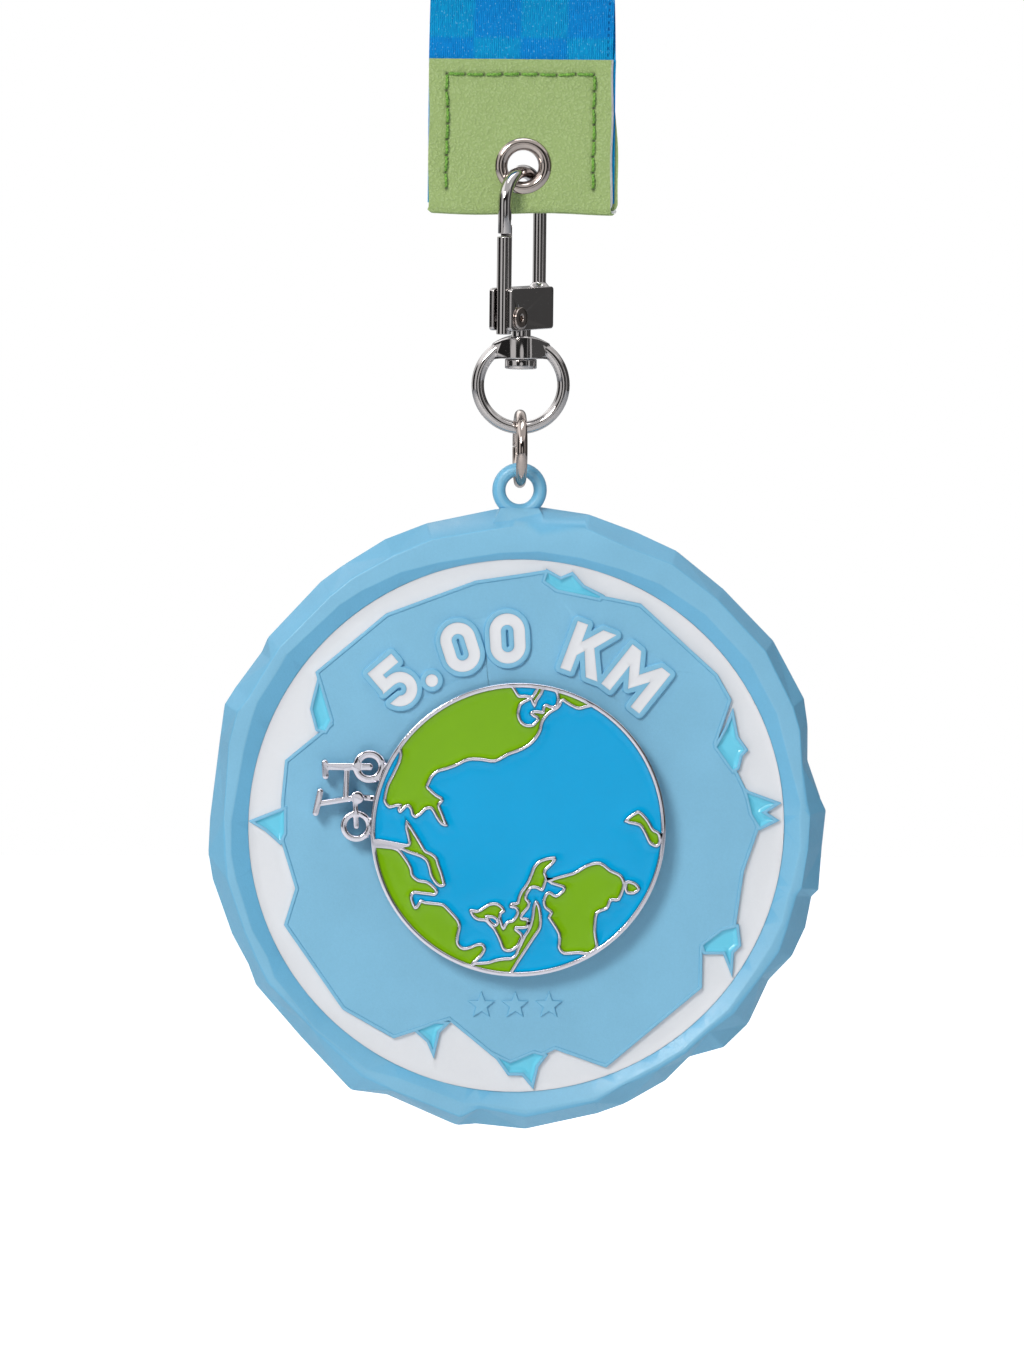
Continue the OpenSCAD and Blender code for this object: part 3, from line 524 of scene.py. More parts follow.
def finish_metal(name, shape, material, sharp_at=50):
    """Makes a smooth-shaded object whose broad faces stay flat."""
    bmesh.ops.triangulate(shape, faces=[face for face in shape.faces if len(face.verts) > 4])
    for face in shape.faces:
        face.smooth = True
    mark_sharp(shape, sharp_at)
    mesh = bpy.data.meshes.new(name)
    shape.to_mesh(mesh)
    shape.free()
    mesh.materials.append(material)
    obj = new_object(name, mesh)
    weights = obj.modifiers.new("face_weights", "WEIGHTED_NORMAL")
    weights.keep_sharp = True
    weights.weight = 60
    return baked(obj)


def rounded_node(name, node, body, material, width, from_angle):
    """A CAD node with its edges broken as casting and polishing leave them."""
    shape = merged(node)
    limit = math.radians(from_angle)
    round_edges(shape, lambda edge: edge_angle(edge) > limit, width)
    fit(finish_metal(name, shape, material), body, [node])


# ---------------------------------------------------------------- medal casting

def from_axis(point):
    return math.hypot(point.x - CENTRE.x, point.z - CENTRE.z) / MM


def medal_casting():
    """The cast body: soft facets on the rim, crisp steps inside the ring."""
    shape = merged("medal_casting")
    rim_start, back_edge = 36.9, 2.3
    loop_low, loop_reach = 41.2, 4.6
    soft, crisp = math.radians(1.5), math.radians(32)

    def by_the_loop(vertex):
        return vertex.co.z - HANG > loop_low * MM and abs(vertex.co.x) < loop_reach * MM

    def on_rim(edge):
        low = min(from_axis(v.co) for v in edge.verts)
        high = max(v.co.y for v in edge.verts)
        near_loop = any(by_the_loop(v) for v in edge.verts)
        return low > rim_start and high < back_edge * MM and edge_angle(edge) > soft and not near_loop

    def inside(edge):
        return max(from_axis(v.co) for v in edge.verts) < rim_start and edge_angle(edge) > crisp

    round_edges(shape, on_rim, 0.22)
    round_edges(shape, inside, 0.09)
    fit(finish_metal("cast_medal", shape, PAINT, 60), "medal", ["medal_casting"])


def globe_disc():
    """The spinning disc: fine rounding on its coasts, fuller on the bicycle."""
    shape = merged("globe_casting")
    disc_edge, front_layer = 20.02, -4.9
    limit = math.radians(35)

    def on_bicycle(edge):
        outside = min(from_axis(v.co) for v in edge.verts) > disc_edge
        in_front = max(v.co.y for v in edge.verts) < front_layer * MM
        return outside and in_front and edge_angle(edge) > limit

    round_edges(shape, lambda edge: edge_angle(edge) > limit and not on_bicycle(edge), 0.1)
    round_edges(shape, on_bicycle, 0.18)
    fit(finish_metal("globe_disc", shape, SILVER), "globe", ["globe_casting"])


def turned(name, outline, centre, segments, material):
    """A ring about the Y axis from a closed outline of (radius, depth) points in mm."""
    points, faces = [], []
    count = len(outline)
    for step in range(segments):
        angle = 2 * math.pi * step / segments
        for radius, depth in outline:
            points.append(centre + Vector((radius * math.cos(angle), depth, radius * math.sin(angle))) * MM)
        after = (step + 1) % segments
        for index in range(count):
            follow = (index + 1) % count
            faces.append((step * count + index, step * count + follow, after * count + follow,
                          after * count + index))
    shape = bmesh.new()
    corners = [shape.verts.new(point) for point in points]
    for face in faces:
        shape.faces.new([corners[index] for index in face])
    bmesh.ops.recalc_face_normals(shape, faces=shape.faces)
    return finish_metal(name, shape, material)


def eyelet_rim():
    """The barrel with its fat rim rolled over both faces of the leather."""
    bore, outer, depth, seat = 2.1, 4.0, 1.2, 0.78
    tube = (outer - bore) / 2
    roll = []
    for degrees in range(0, 151, 10):
        angle = math.radians(degrees)
        roll.append((bore + tube - tube * math.cos(angle), tube - depth - tube * math.sin(angle)))
    front = roll + [(outer - 0.02, -seat), (EYELET_BORE - 0.1, -seat)]
    outline = front + [(radius, -y) for radius, y in reversed(front)]
    obj = turned("eyelet_rim", outline, EYELET, 96, NICKEL)
    fit(obj, "ribbon", ["eyelet_barrel"])


# ---------------------------------------------------------------- enamel fills

def front_loops(node):
    """Outlines of an enamel node's front faces, as loops of (x, z) in mm from the medal's centre."""
    shape = merged(node)
    shape.faces.ensure_lookup_table()
    front = min(face.calc_center_median().y for face in shape.faces if face.normal.y < -0.99)
    faces = {face for face in shape.faces if face.normal.y < -0.99
             and abs(face.calc_center_median().y - front) < 2e-5}
    follow = {}
    for face in faces:
        for loop in face.loops:
            if sum(other in faces for other in loop.edge.link_faces) == 1:
                follow.setdefault(loop.vert, []).append(loop.link_loop_next.vert)
    loops = []
    while follow:
        start = next(iter(follow))
        vert = start
        ring = []
        while vert in follow:
            ring.append(((vert.co.x - CENTRE.x) / MM, (vert.co.z - CENTRE.z) / MM))
            after = follow[vert].pop()
            if not follow[vert]:
                del follow[vert]
            vert = after
            if vert is start:
                break
        loops.append(ring)
    shape.free()
    return loops, front / MM


def resampled(ring, step):
    """The ring with extra points, so that no side is longer than the step."""
    points = []
    for index, first in enumerate(ring):
        last = ring[(index + 1) % len(ring)]
        length = math.dist(first, last)
        count = max(1, math.ceil(length / step))
        for part in range(count):
            share = part / count
            points.append((first[0] + (last[0] - first[0]) * share, first[1] + (last[1] - first[1]) * share))
    return points


def inside_loops(points, loops):
    """Even-odd test of many points against the loops."""
    px, pz = points[:, 0], points[:, 1]
    odd = np.zeros(len(points), bool)
    for ring in loops:
        corners = np.array(ring)
        ax, az = corners[:, 0], corners[:, 1]
        bx, bz = np.roll(ax, -1), np.roll(az, -1)
        for x0, z0, x1, z1 in zip(ax, az, bx, bz):
            if z0 == z1:
                continue
            spans = (z0 > pz) != (z1 > pz)
            odd ^= spans & (px < (x1 - x0) * (pz - z0) / (z1 - z0) + x0)
    return odd


def distance_tree(loops):
    samples = [point for ring in loops for point in resampled(ring, 0.05)]
    tree = kdtree.KDTree(len(samples))
    for index, point in enumerate(samples):
        tree.insert((point[0], point[1], 0), index)
    tree.balance()
    return tree


def enamel_points(loops, tree, rings, grid):
    """Points inside the loops: rows that follow the walls, then an even grid."""
    found = []
    for ring in loops:
        for first, last in zip(ring, ring[1:] + ring[:1]):
            length = math.dist(first, last)
            if length < 1e-6:
                continue
            normal = (-(last[1] - first[1]) / length, (last[0] - first[0]) / length)
            for depth in rings:
                for side in (1, -1):
                    x = first[0] + side * normal[0] * depth
                    z = first[1] + side * normal[1] * depth
                    found.append((x, z, depth))
    xs = [x for ring in loops for x, z in ring]
    zs = [z for ring in loops for x, z in ring]
    row = 0
    height = min(zs)
    while height < max(zs):
        along = min(xs) + (row % 2) * grid / 2
        while along < max(xs):
            found.append((along, height, rings[-1] + grid * 0.6))
            along += grid
        height += grid * 0.87
        row += 1
    points = np.array(found)
    points = points[inside_loops(points, loops)]
    kept = []
    for x, z, depth in points:
        if tree.find((x, z, 0))[2] > 0.97 * depth - 0.01:
            kept.append((x, z))
    return kept


def ring_sides(loops):
    """The sides of each ring, as pairs of indices into one list of all the rings' points."""
    sides = []
    start = 0
    for ring in loops:
        count = len(ring)
        sides += [(start + i, start + (i + 1) % count) for i in range(count)]
        start += count
    return sides


def triangles_inside(points, triangles, loops):
    """The triangles that lie inside the loops, all turned the same way."""
    middles = np.array([[sum(points[i].x for i in tri) / 3, sum(points[i].y for i in tri) / 3]
                        for tri in triangles])
    used = []
    for tri, inside in zip(triangles, inside_loops(middles, loops)):
        if not inside:
            continue
        a, b, c = (points[i] for i in tri)
        turn = (b.x - a.x) * (c.y - a.y) - (b.y - a.y) * (c.x - a.x)
        used.append(tuple(tri) if turn > 0 else tuple(reversed(tri)))
    return used


def closed_faces(used, total):
    """The top's triangles, the same on the underside, and the walls between them."""
    faces = list(used) + [tuple(i + total for i in reversed(tri)) for tri in used]
    borders = {}
    for tri in used:
        for a, b in ((tri[0], tri[1]), (tri[1], tri[2]), (tri[2], tri[0])):
            borders[(a, b)] = True
    for a, b in borders:
        if (b, a) not in borders:
            faces.append((b, a, a + total, b + total))
    return faces


def enamel_fill(name, node, body, material, height_at, rear, step, grid,
                rings=(0.12, 0.26, 0.45, 0.75, 1.2)):
    """A fill whose surface is drawn up along its walls, closed by its sides and underside."""
    rough_loops, front = front_loops(node)
    loops = [resampled(ring, step) for ring in rough_loops]
    tree = distance_tree(loops)
    outline = [point for ring in loops for point in ring]
    inner = enamel_points(loops, tree, rings, grid)
    flat = [Vector(point) for point in outline + inner]
    made = geometry.delaunay_2d_cdt(flat, ring_sides(loops), [], 0, 1e-5)
    points, triangles = made[0], made[2]
    top, painted_shades = [], []
    for point in points:
        gap = tree.find((point.x, point.y, 0))[2]
        # Painted shade: each point's share of darkening, full at the wall and gone 0.2 mm from it.
        painted_shades.append(1 - smooth_step(0.02, 0.2, gap))
        lift = height_at(gap)
        top.append((CENTRE.x + point.x * MM, (front - lift) * MM, CENTRE.z + point.y * MM))
    bottom = [(x, rear * MM, z) for x, y, z in top]
    faces = closed_faces(triangles_inside(points, triangles, loops), len(top))
    obj = object_from(name, top + bottom, faces)
    mark = obj.data.attributes.new("painted_wall_shade", "FLOAT", "POINT")
    mark.data.foreach_set("value", painted_shades + painted_shades)
    shape = bmesh.new()
    shape.from_mesh(obj.data)
    drop_loose(shape)
    for face in shape.faces:
        face.smooth = face.normal.y < -0.5
    mark_sharp(shape, 50)
    shape.to_mesh(obj.data)
    shape.free()
    obj.data.materials.append(material)
    fit(obj, body, [node])


def drawn_up(rise, reach, dome=0.0):
    """Height of a fill that creeps up its walls, with an optional dome between them."""
    return lambda gap: rise * math.exp(-(gap / reach) ** 1.3) + dome


def facets(slope, deepest, rise):
    """Height of a fill that falls away from its walls to a crease along its middle."""
    return lambda gap: rise - min(deepest, slope * gap)


# ---------------------------------------------------------------- ribbon and tab

def smooth_curve(corners, parts=24):
    """Dense points on a smooth curve through the corners."""
    dense = []
    for index in range(len(corners) - 1):
        p0 = corners[max(0, index - 1)]
        p1, p2 = corners[index], corners[index + 1]
        p3 = corners[min(len(corners) - 1, index + 2)]
        for part in range(parts):
            t = part / parts
            point = []
            for a, b, c, d in zip(p0, p1, p2, p3):
                point.append(0.5 * (2 * b + (c - a) * t + (2 * a - 5 * b + 4 * c - d) * t * t
                                    + (3 * b - a - 3 * c + d) * t ** 3))
            dense.append(point)
    dense.append(list(corners[-1]))
    return dense


def path_points(corners, step):
    """Even points along a smooth curve through the corners, with their distance along it."""
    dense = smooth_curve(corners)
    lengths = [0.0]
    for first, last in zip(dense, dense[1:]):
        lengths.append(lengths[-1] + math.dist(first, last))
    total = lengths[-1]
    count = round(total / step)
    result, index = [], 0
    for part in range(count + 1):
        target = total * part / count
        while index < len(lengths) - 2 and lengths[index + 1] < target:
            index += 1
        share = (target - lengths[index]) / max(1e-9, lengths[index + 1] - lengths[index])
        a, b = dense[index], dense[index + 1]
        result.append((a[0] + (b[0] - a[0]) * share, a[1] + (b[1] - a[1]) * share, target))
    return result, total


def strip(name, path, width, columns, place):
    """A grid swept along the path, with its flat cloth coordinates as a UV map in mm."""
    points, flat = [], []
    for y, z, along in path:
        for column in range(columns + 1):
            across = width * column / columns
            points.append(place(across, along, y, z))
            flat.append((across, along))
    faces = []
    rows = len(path) - 1
    for row in range(rows):
        for column in range(columns):
            corner = row * (columns + 1) + column
            faces.append((corner, corner + 1, corner + columns + 2, corner + columns + 1))
    centre_x, centre_z = EYELET.x / MM, EYELET.z / MM

    def in_bore(face):
        x = sum(points[i][0] for i in face) / 4
        z = sum(points[i][2] for i in face) / 4
        return math.hypot(x - centre_x, z - centre_z) < EYELET_BORE

    faces = [face for face in faces if not in_bore(face)]
    obj = object_from(name, [Vector(point) * MM for point in points], faces)
    layer = obj.data.uv_layers.new(name="cloth")
    for loop in obj.data.loops:
        layer.data[loop.index].uv = flat[loop.vertex_index]
    return obj


def thicken(obj, thickness, materials):
    for material in materials:
        obj.data.materials.append(material)
    for polygon in obj.data.polygons:
        polygon.use_smooth = True
    solid = obj.modifiers.new("thickness", "SOLIDIFY")
    solid.thickness = thickness * MM
    solid.offset = 0
    solid.use_rim = True
    solid.material_offset_rim = len(materials) - 1
    baked(obj)
    shape = bmesh.new()
    shape.from_mesh(obj.data)
    drop_loose(shape)
    mark_sharp(shape, 50)
    shape.to_mesh(obj.data)
    shape.free()
    return obj


def neck_ribbon():
    """Both layers rise from the tab and close in a loop."""
    layer = RIBBON_THICK / 2 + 0.02
    front = [(-layer, 84.4), (-layer, 90), (-layer, 96), (-layer, 101), (-layer - 0.1, 104.5),
             (-1.5, 109.5), (-3.6, 114.2), (-4.95, 118), (-4.75, 121), (-2.9, 123.4), (0, 124.15)]
    back = [(-y, z) for y, z in reversed(front[:-1])]
    path, total = path_points(front + back, 0.5)
    middle = total / 2

    def place(across, along, y, z):
        free = 1 - smooth_step(10, 24, abs(along - middle))
        wave = 0.16 * free * math.sin(across * 0.42 + along * 0.1) + 0.05 * math.sin(across * 0.9)
        skew = 0.23 * math.tanh((along - middle) / 12) - 0.22
        curl = 0.1 * smooth_step(9, 12.4, abs(across - RIBBON_WIDTH / 2)) * (1 if along > middle else -1)
        outward = -1 if along < middle else 1
        settle = smooth_step(103, 106, z)
        return (across - RIBBON_WIDTH / 2 + skew, y + outward * (wave + curl) * settle, z + HANG_MM)

    obj = strip("neck_ribbon_cloth", path, RIBBON_WIDTH, 60, place)
    thicken(obj, RIBBON_THICK, [CLOTH])
    fit(obj, "ribbon", ["neck_ribbon"])


TAB_WIDTH = 24.6
TAB_MIDDLE = -0.45
STITCH_LEFT = -10.35
STITCH_RIGHT = 9.45
STITCH_TOP = 101.7
STITCH_LOW = 86.3
STITCH_DEPTH = 0.8
STITCH_INSET = 0.11


def rear_shift(z):
    """How far the tab's rear half lies to the right of its front half, less near the top."""
    return 0.85 * (0.35 + 0.65 * (1 - smooth_step(88, 100, z)))


def stitch_ends(side):
    """The two ends of every stitch on one face, in mm from the medal's centre, slightly out of line."""
    draw = random.Random(7 if side < 0 else 11)
    rows = [((STITCH_LEFT, STITCH_TOP), (STITCH_RIGHT, STITCH_TOP), 8),
            ((STITCH_LEFT, STITCH_LOW), (STITCH_LEFT, STITCH_TOP), 7),
            ((STITCH_RIGHT, STITCH_LOW), (STITCH_RIGHT, STITCH_TOP), 7)]
    ends = []
    for first, last, count in rows:
        marks = []
        for index in range(count + 1):
            share = index / count
            x = first[0] + (last[0] - first[0]) * share
            z = first[1] + (last[1] - first[1]) * share
            if 0 < index < count:
                x += draw.uniform(-0.12, 0.12)
                z += draw.uniform(-0.12, 0.12)
            marks.append((x, z))
        ends += list(zip(marks, marks[1:]))
    return ends


def slant_cut(obj):
    """Leans the cut edges outwards towards the flesh side, as a blade leaves them."""
    for vertex in obj.data.vertices:
        x, z = vertex.co.x / MM, (vertex.co.z - HANG) / MM
        right = smooth_step(0.5, 0.0, TAB_MIDDLE + TAB_WIDTH / 2 - x)
        depth = smooth_step(0.85, 0.4, abs(vertex.co.y) / MM)
        vertex.co.x += (0.32 * right * depth * smooth_step(83.4, 84.4, z) - 0.12 * right) * MM


def leather_tab():
    """One strip folded round the ribbon's ends, puckered at the needle holes."""
    layer = 0.575
    fold = 83.78
    turn = [(-layer * math.cos(a), fold - layer * math.sin(a))
            for a in (math.radians(angle) for angle in (20, 45, 70, 90, 110, 135, 160))]
    rise = [88, 92, 96, 100, 103.7]
    path, total = path_points([(-layer, z) for z in reversed(rise)] + [(-layer, fold)] + turn
                              + [(layer, fold)] + [(layer, z) for z in rise], 0.26)
    holes = kdtree.KDTree(200)
    spots = []
    for side in (-1, 1):
        for first, last in stitch_ends(side):
            spots += [(first[0], side * layer, first[1]), (last[0], side * layer, last[1])]
    for index, spot in enumerate(spots):
        holes.insert(spot, index)
    holes.balance()
    marks = []

    def place(across, along, y, z):
        x = across - TAB_WIDTH / 2 + TAB_MIDDLE
        side = -1 if y < 0 else 1
        reach = holes.find((x, side * layer, z))[2]
        marks.append(math.exp(-(reach / 0.3) ** 4))
        low = 1 - smooth_step(fold, fold + 2.5, z)
        edge = TAB_WIDTH / 2 - abs(x - TAB_MIDDLE)
        corner = 0.3 - math.sqrt(max(0.0, 0.09 - max(0.0, 0.28 - edge) ** 2))
        lift = low * (corner + 0.14 * math.sin(x * 0.33 + 0.6) - 0.05)
        skew = rear_shift(z) * smooth_step(-layer, layer, y)
        skew += 0.07 * math.sin(z * 0.55 + side)
        swell = 0.05 * math.sin(x * 0.5 + z * 0.37) + 0.04 * smooth_step(2.2, 0.6, edge)
        pucker = 0.16 * math.exp(-(reach / 0.55) ** 2)
        height = y + side * (swell - pucker) * smooth_step(0.1, layer, abs(y))
        return (x + skew, height, z + lift + HANG_MM)

    obj = strip("leather_tab_strip", path, TAB_WIDTH, 96, place)
    # This needle-hole mark drives the painted shade in the leather's colour.
    mark = obj.data.attributes.new("needle_hole_shade", "FLOAT", "POINT")
    mark.data.foreach_set("value", marks)
    thicken(obj, LEATHER_THICK, [LEATHER, LEATHER_CUT])
    slant_cut(obj)
    fit(obj, "ribbon", ["leather_tab"])


def stitch_path(tree, start):
    """Each edge as a curve that arches outwards, tapers to its ends and twists."""
    curve = add_node(tree, "GeometryNodeMeshToCurve")
    sampled = add_node(tree, "GeometryNodeResampleCurve", {"Count": 15})
    share = add_node(tree, "GeometryNodeSplineParameter").outputs["Factor"]
    centred = math_node(tree, "MULTIPLY_ADD", share, 2.0, -1.0)
    fall = math_node(tree, "SUBTRACT", 1.0, times(tree, centred, centred))
    radius = math_node(tree, "POWER", plus(tree, fall, 0.02), 0.3)
    offset = add_node(tree, "ShaderNodeVectorMath", operation="SCALE")
    moved = add_node(tree, "GeometryNodeSetPosition")
    tapered = add_node(tree, "GeometryNodeSetCurveRadius")
    twisted = add_node(tree, "GeometryNodeSetCurveTilt")
    join(tree, start.outputs["Outward"], offset.inputs[0])
    join(tree, times(tree, fall, start.outputs["Arch"]), offset.inputs["Scale"])
    join(tree, offset.outputs[0], moved.inputs["Offset"])
    join(tree, radius, tapered.inputs["Radius"])
    join(tree, times(tree, share, start.outputs["Turns"]), twisted.inputs["Tilt"])
    return chained(tree, start.outputs["Geometry"], (curve, "Mesh"), (sampled, "Curve"),
                   (moved, "Geometry"), (tapered, "Curve"), (twisted, "Curve"))


def yarn_profile(tree, start):
    """A ring pinched at its waist, which shows as two plies once it is twisted."""
    ring = add_node(tree, "GeometryNodeCurvePrimitiveCircle", {"Resolution": 12, "Radius": 0.5})
    place = add_node(tree, "GeometryNodeInputPosition")
    flatten = add_node(tree, "ShaderNodeVectorMath", operation="MULTIPLY")
    parts = add_node(tree, "ShaderNodeSeparateXYZ")
    squeeze = add_node(tree, "ShaderNodeCombineXYZ", {0: 1.0, 2: 1.0})
    shaped = add_node(tree, "GeometryNodeSetPosition")
    sized = add_node(tree, "GeometryNodeTransform")
    scale = add_node(tree, "ShaderNodeCombineXYZ")
    join(tree, place.outputs[0], parts.inputs[0])
    sides = math_node(tree, "ABSOLUTE", times(tree, parts.outputs[0], 2.0))
    join(tree, math_node(tree, "MULTIPLY_ADD", sides, 0.45, 0.55), squeeze.inputs[1])
    join(tree, place.outputs[0], flatten.inputs[0])
    join(tree, squeeze.outputs[0], flatten.inputs[1])
    join(tree, flatten.outputs[0], shaped.inputs["Position"])
    for index in range(3):
        join(tree, start.outputs["Thickness"], scale.inputs[index])
    join(tree, scale.outputs[0], sized.inputs["Scale"])
    return chained(tree, ring.outputs[0], (shaped, "Geometry"), (sized, "Geometry"))


def stitch_tree():
    """Each edge of the mesh becomes one arched stitch of twisted yarn."""
    tree = bpy.data.node_groups.new("twisted_stitches", "GeometryNodeTree")
    tree.interface.new_socket("Geometry", in_out="INPUT", socket_type="NodeSocketGeometry")
    given = [("Thickness", FLOAT), ("Arch", FLOAT), ("Turns", FLOAT),
             ("Outward", VECTOR), ("Yarn", "NodeSocketMaterial")]
    for label, kind in given:
        tree.interface.new_socket(label, in_out="INPUT", socket_type=kind)
    tree.interface.new_socket("Geometry", in_out="OUTPUT", socket_type="NodeSocketGeometry")
    start = tree.nodes.new("NodeGroupInput")
    end = tree.nodes.new("NodeGroupOutput")
    swept = add_node(tree, "GeometryNodeCurveToMesh", {"Fill Caps": True})
    smooth = add_node(tree, "GeometryNodeSetShadeSmooth")
    real = add_node(tree, "GeometryNodeRealizeInstances")
    painted = add_node(tree, "GeometryNodeSetMaterial")
    join(tree, yarn_profile(tree, start), swept.inputs["Profile Curve"])
    join(tree, start.outputs["Yarn"], painted.inputs["Material"])
    made = chained(tree, stitch_path(tree, start), (swept, "Curve"), (smooth, "Geometry"),
                   (real, "Geometry"), (painted, "Geometry"))
    join(tree, made, end.inputs["Geometry"])
    return tree


def tab_stitching():
    """Two faces of stitches, sewn through the folded leather."""
    tree = stitch_tree()
    sockets = {item.name: item.identifier for item in tree.interface.items_tree if item.in_out == "INPUT"}
    for name, side in (("stitches_front", -1), ("stitches_rear", 1)):
        points, edges = [], []
        for first, last in stitch_ends(side):
            shift = rear_shift(first[1]) if side > 0 else 0.0
            inset = [(first[i] + (last[i] - first[i]) * STITCH_INSET,
                      last[i] + (first[i] - last[i]) * STITCH_INSET) for i in (0, 1)]
            for x, z in zip(*inset):
                edges.append(len(points))
                points.append(Vector((x + shift, side * STITCH_DEPTH, z + HANG_MM)) * MM)
        mesh = bpy.data.meshes.new(name)
        mesh.from_pydata(points, list(zip(edges[::2], edges[1::2])), [])
        obj = new_object(name, mesh)
        sewing = obj.modifiers.new("sewing", "NODES")
        sewing.node_group = tree
        sewing[sockets["Thickness"]] = STITCH_THICK * MM
        sewing[sockets["Arch"]] = 0.3 * MM
        sewing[sockets["Turns"]] = 9.0
        sewing[sockets["Outward"]] = (0.0, float(side), 0.0)
        sewing[sockets["Yarn"]] = THREAD
        baked(obj)
        fit(obj, "ribbon", ["tab_stitching"])


# ---------------------------------------------------------------- light, floor, camera

def area_light(name, place, aim, width, height, power, tint=(1, 1, 1)):
    light = bpy.data.lights.new(name, "AREA")
    light.shape = "RECTANGLE"
    light.size, light.size_y = width, height
    light.energy = power
    light.color = tint
    obj = bpy.data.objects.new(name, light)
    bpy.context.scene.collection.objects.link(obj)
    obj.location = place
    obj.rotation_euler = (Vector(aim) - Vector(place)).to_track_quat("-Z", "Y").to_euler()
    return obj


def mirrored_studio(tree):
    """What polished parts mirror: a bright ceiling, and a panel and a slit on the left and right."""
    coords = add_node(tree, "ShaderNodeTexCoord")
    parts = add_node(tree, "ShaderNodeSeparateXYZ")
    join(tree, coords.outputs["Generated"], parts.inputs[0])
    right, rear, up = parts.outputs
    above = ramp(tree, up, 0.35, 0.5, 0.035, 1.0)
    ahead = ramp(tree, rear, -0.99, -0.975, 1.0, 0.0)
    behind = ramp(tree, rear, 0.6, 0.85, 0.0, 0.3)
    beside = ramp(tree, right, 0.8, 0.98, 0.0, 0.1)
    panel_low = ramp(tree, right, -0.62, -0.54, 1.1, 0.0)
    panel_high = ramp(tree, right, -0.94, -0.88, 1.1, 0.0)
    panel = math_node(tree, "SUBTRACT", panel_low, panel_high)
    slit_gap = math_node(tree, "ABSOLUTE", plus(tree, right, -0.6))
    slit = ramp(tree, slit_gap, 0.03, 0.07, 0.3, 0.0)
    sides = plus(tree, plus(tree, panel, slit), plus(tree, ahead, beside))
    return grey_of(tree, plus(tree, plus(tree, above, behind), sides))


def studio_world():
    """White to the camera, a weak cool fill to matt surfaces, and panels to polished ones."""
    world = bpy.data.worlds.new("white_studio")
    bpy.context.scene.world = world
    world.use_nodes = True
    tree = world.node_tree
    backdrop = tree.nodes["Background"]
    set_inputs(backdrop, {"Color": (1, 1, 1, 1), "Strength": 1.0})
    fill = add_node(tree, "ShaderNodeBackground", {"Color": (0.82, 0.98, 1.16, 1), "Strength": 0.24})
    mirrored = add_node(tree, "ShaderNodeBackground", {"Strength": 0.8})
    ray = add_node(tree, "ShaderNodeLightPath")
    lighting = add_node(tree, "ShaderNodeMixShader")
    seen = add_node(tree, "ShaderNodeMixShader")
    join(tree, mirrored_studio(tree), mirrored.inputs["Color"])
    join(tree, ray.outputs["Is Glossy Ray"], lighting.inputs[0])
    join(tree, fill.outputs[0], lighting.inputs[1])
    join(tree, mirrored.outputs[0], lighting.inputs[2])
    join(tree, ray.outputs["Is Camera Ray"], seen.inputs[0])
    join(tree, lighting.outputs[0], seen.inputs[1])
    join(tree, backdrop.outputs[0], seen.inputs[2])
    join(tree, seen.outputs[0], tree.nodes["World Output"].inputs["Surface"])


def studio():
    bpy.context.scene.view_settings.view_transform = "Standard"
    studio_world()
    aim = (0, 0, -0.11)
    area_light("key_softbox", (-0.46, -0.8, 0.42), aim, 0.3, 0.3, 7.6, (1, 0.965, 0.925))
    area_light("top_softbox", (0.1, -0.15, 0.75), aim, 0.7, 0.3, 2.4)
    area_light("side_softbox", (0.8, -0.5, 0.1), aim, 0.2, 0.8, 0.35)
    area_light("rear_softbox", (-0.3, 0.8, 0.4), aim, 0.6, 0.5, 1.2)


def floor():
    half, level = 1.3, -0.3
    points = [(-half, -half, level), (half, -half, level), (half, half, level), (-half, half, level)]
    obj = object_from("studio_floor", points, [(0, 1, 2, 3)])
    obj.data.materials.append(floor_paint())


def camera():
    data = bpy.data.cameras.new("camera")
    data.sensor_fit = "AUTO"
    data.sensor_width = 36
    data.lens = 175
    data.clip_start = 0.05
    data.clip_end = 30
    obj = bpy.data.objects.new("camera", data)
    bpy.context.scene.collection.objects.link(obj)
    azimuth, elevation, roll = math.radians(-3.5), math.radians(6), math.radians(0.6)
    back = Vector((math.sin(azimuth) * math.cos(elevation), -math.cos(azimuth) * math.cos(elevation),
                   math.sin(elevation)))
    aim = Vector((-0.00075, 0, -0.1045))
    distance = 0.9
    obj.location = aim + back * distance
    turn = (-back).to_track_quat("-Z", "Y").to_matrix().to_4x4()
    obj.rotation_euler = turn.to_euler()
    obj.rotation_euler.rotate_axis("Z", roll)
    bpy.context.scene.camera = obj


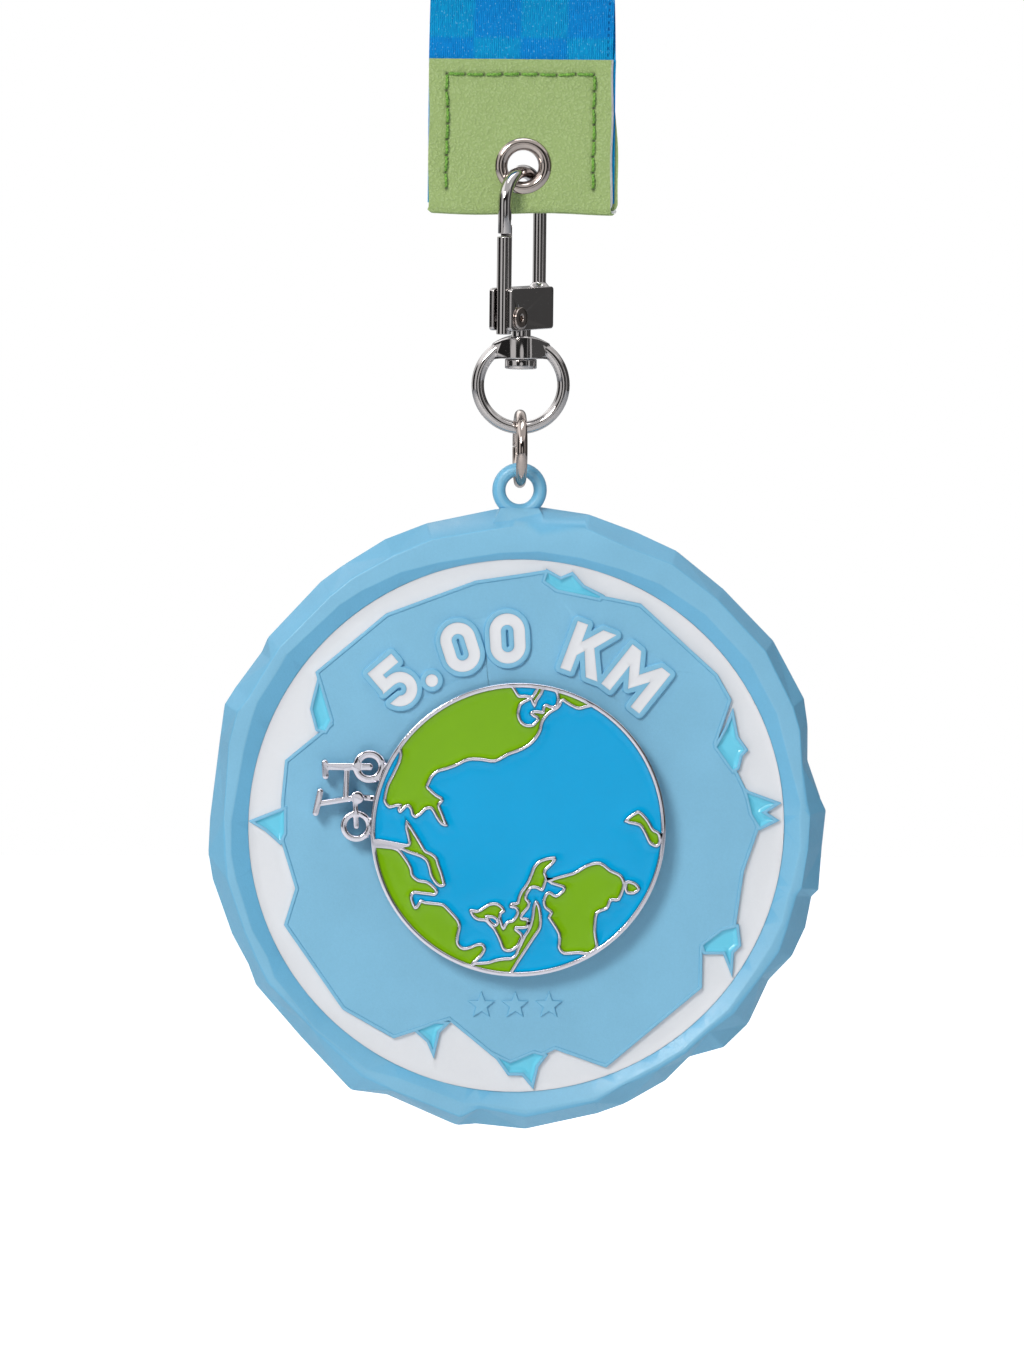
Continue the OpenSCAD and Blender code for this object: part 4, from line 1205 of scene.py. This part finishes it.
# ---------------------------------------------------------------- the medal

def metal_parts():
    eyelet_rim()
    rounded_node("eyelet_back_washer", "eyelet_washer", "ribbon", NICKEL, 0.03, 40)
    rounded_node("hook_and_block", "clasp_frame", "clasp", GUNMETAL, 0.12, 40)
    rounded_node("hinge_rivet", "gate_pin", "clasp", NICKEL, 0.1, 40)
    rounded_node("hinge_spring", "gate_spring", "clasp", SPRING, 0.02, 80)
    rounded_node("swivel_pin", "swivel_post", "clasp", GUNMETAL, 0.15, 40)
    rounded_node("sprung_gate", "clasp_gate", "gate", GUNMETAL, 0.1, 40)
    rounded_node("swivel_loop", "swivel_ring", "swivel", GUNMETAL, 0.2, 40)
    rounded_node("split_ring", "jump_ring", "jump", NICKEL, 0.04, 60)
    globe_disc()
    rounded_node("pivot_rivet", "pivot_stud", "globe", NICKEL, 0.1, 40)
    rounded_node("rivet_washer", "retaining_washer", "globe", NICKEL, 0.06, 40)
    rounded_node("slip_washer", "spacer_washer", "medal", NYLON, 0.05, 40)


def enamels():
    white_rear, crack_rear, figure_rear, globe_rear = -0.9, -1.63, -2.3, -5.1
    enamel_fill("white_ring_fill", "ring_enamel", "medal", WHITE,
                drawn_up(0.22, 0.5), white_rear, 0.5, 1.4)
    enamel_fill("crack_fill", "crack_enamel", "medal", TEAL,
                facets(0.7, 0.33, 0.12), crack_rear, 0.12, 0.25, (0.1, 0.2, 0.3, 0.45))
    enamel_fill("figure_fill", "inscription_enamel", "medal", WHITE,
                drawn_up(0.1, 0.3, -0.02), figure_rear, 0.2, 0.45, (0.1, 0.2, 0.35))
    enamel_fill("ocean_fill", "ocean_enamel", "globe", OCEAN,
                drawn_up(0.17, 0.45, -0.15), globe_rear, 0.25, 0.9)
    enamel_fill("land_fill", "land_enamel", "globe", LAND,
                drawn_up(0.17, 0.42, -0.15), globe_rear, 0.2, 0.7)


camera()
studio()
floor()
neck_ribbon()
leather_tab()
tab_stitching()
metal_parts()
medal_casting()
enamels()

bpy.context.view_layer.update()
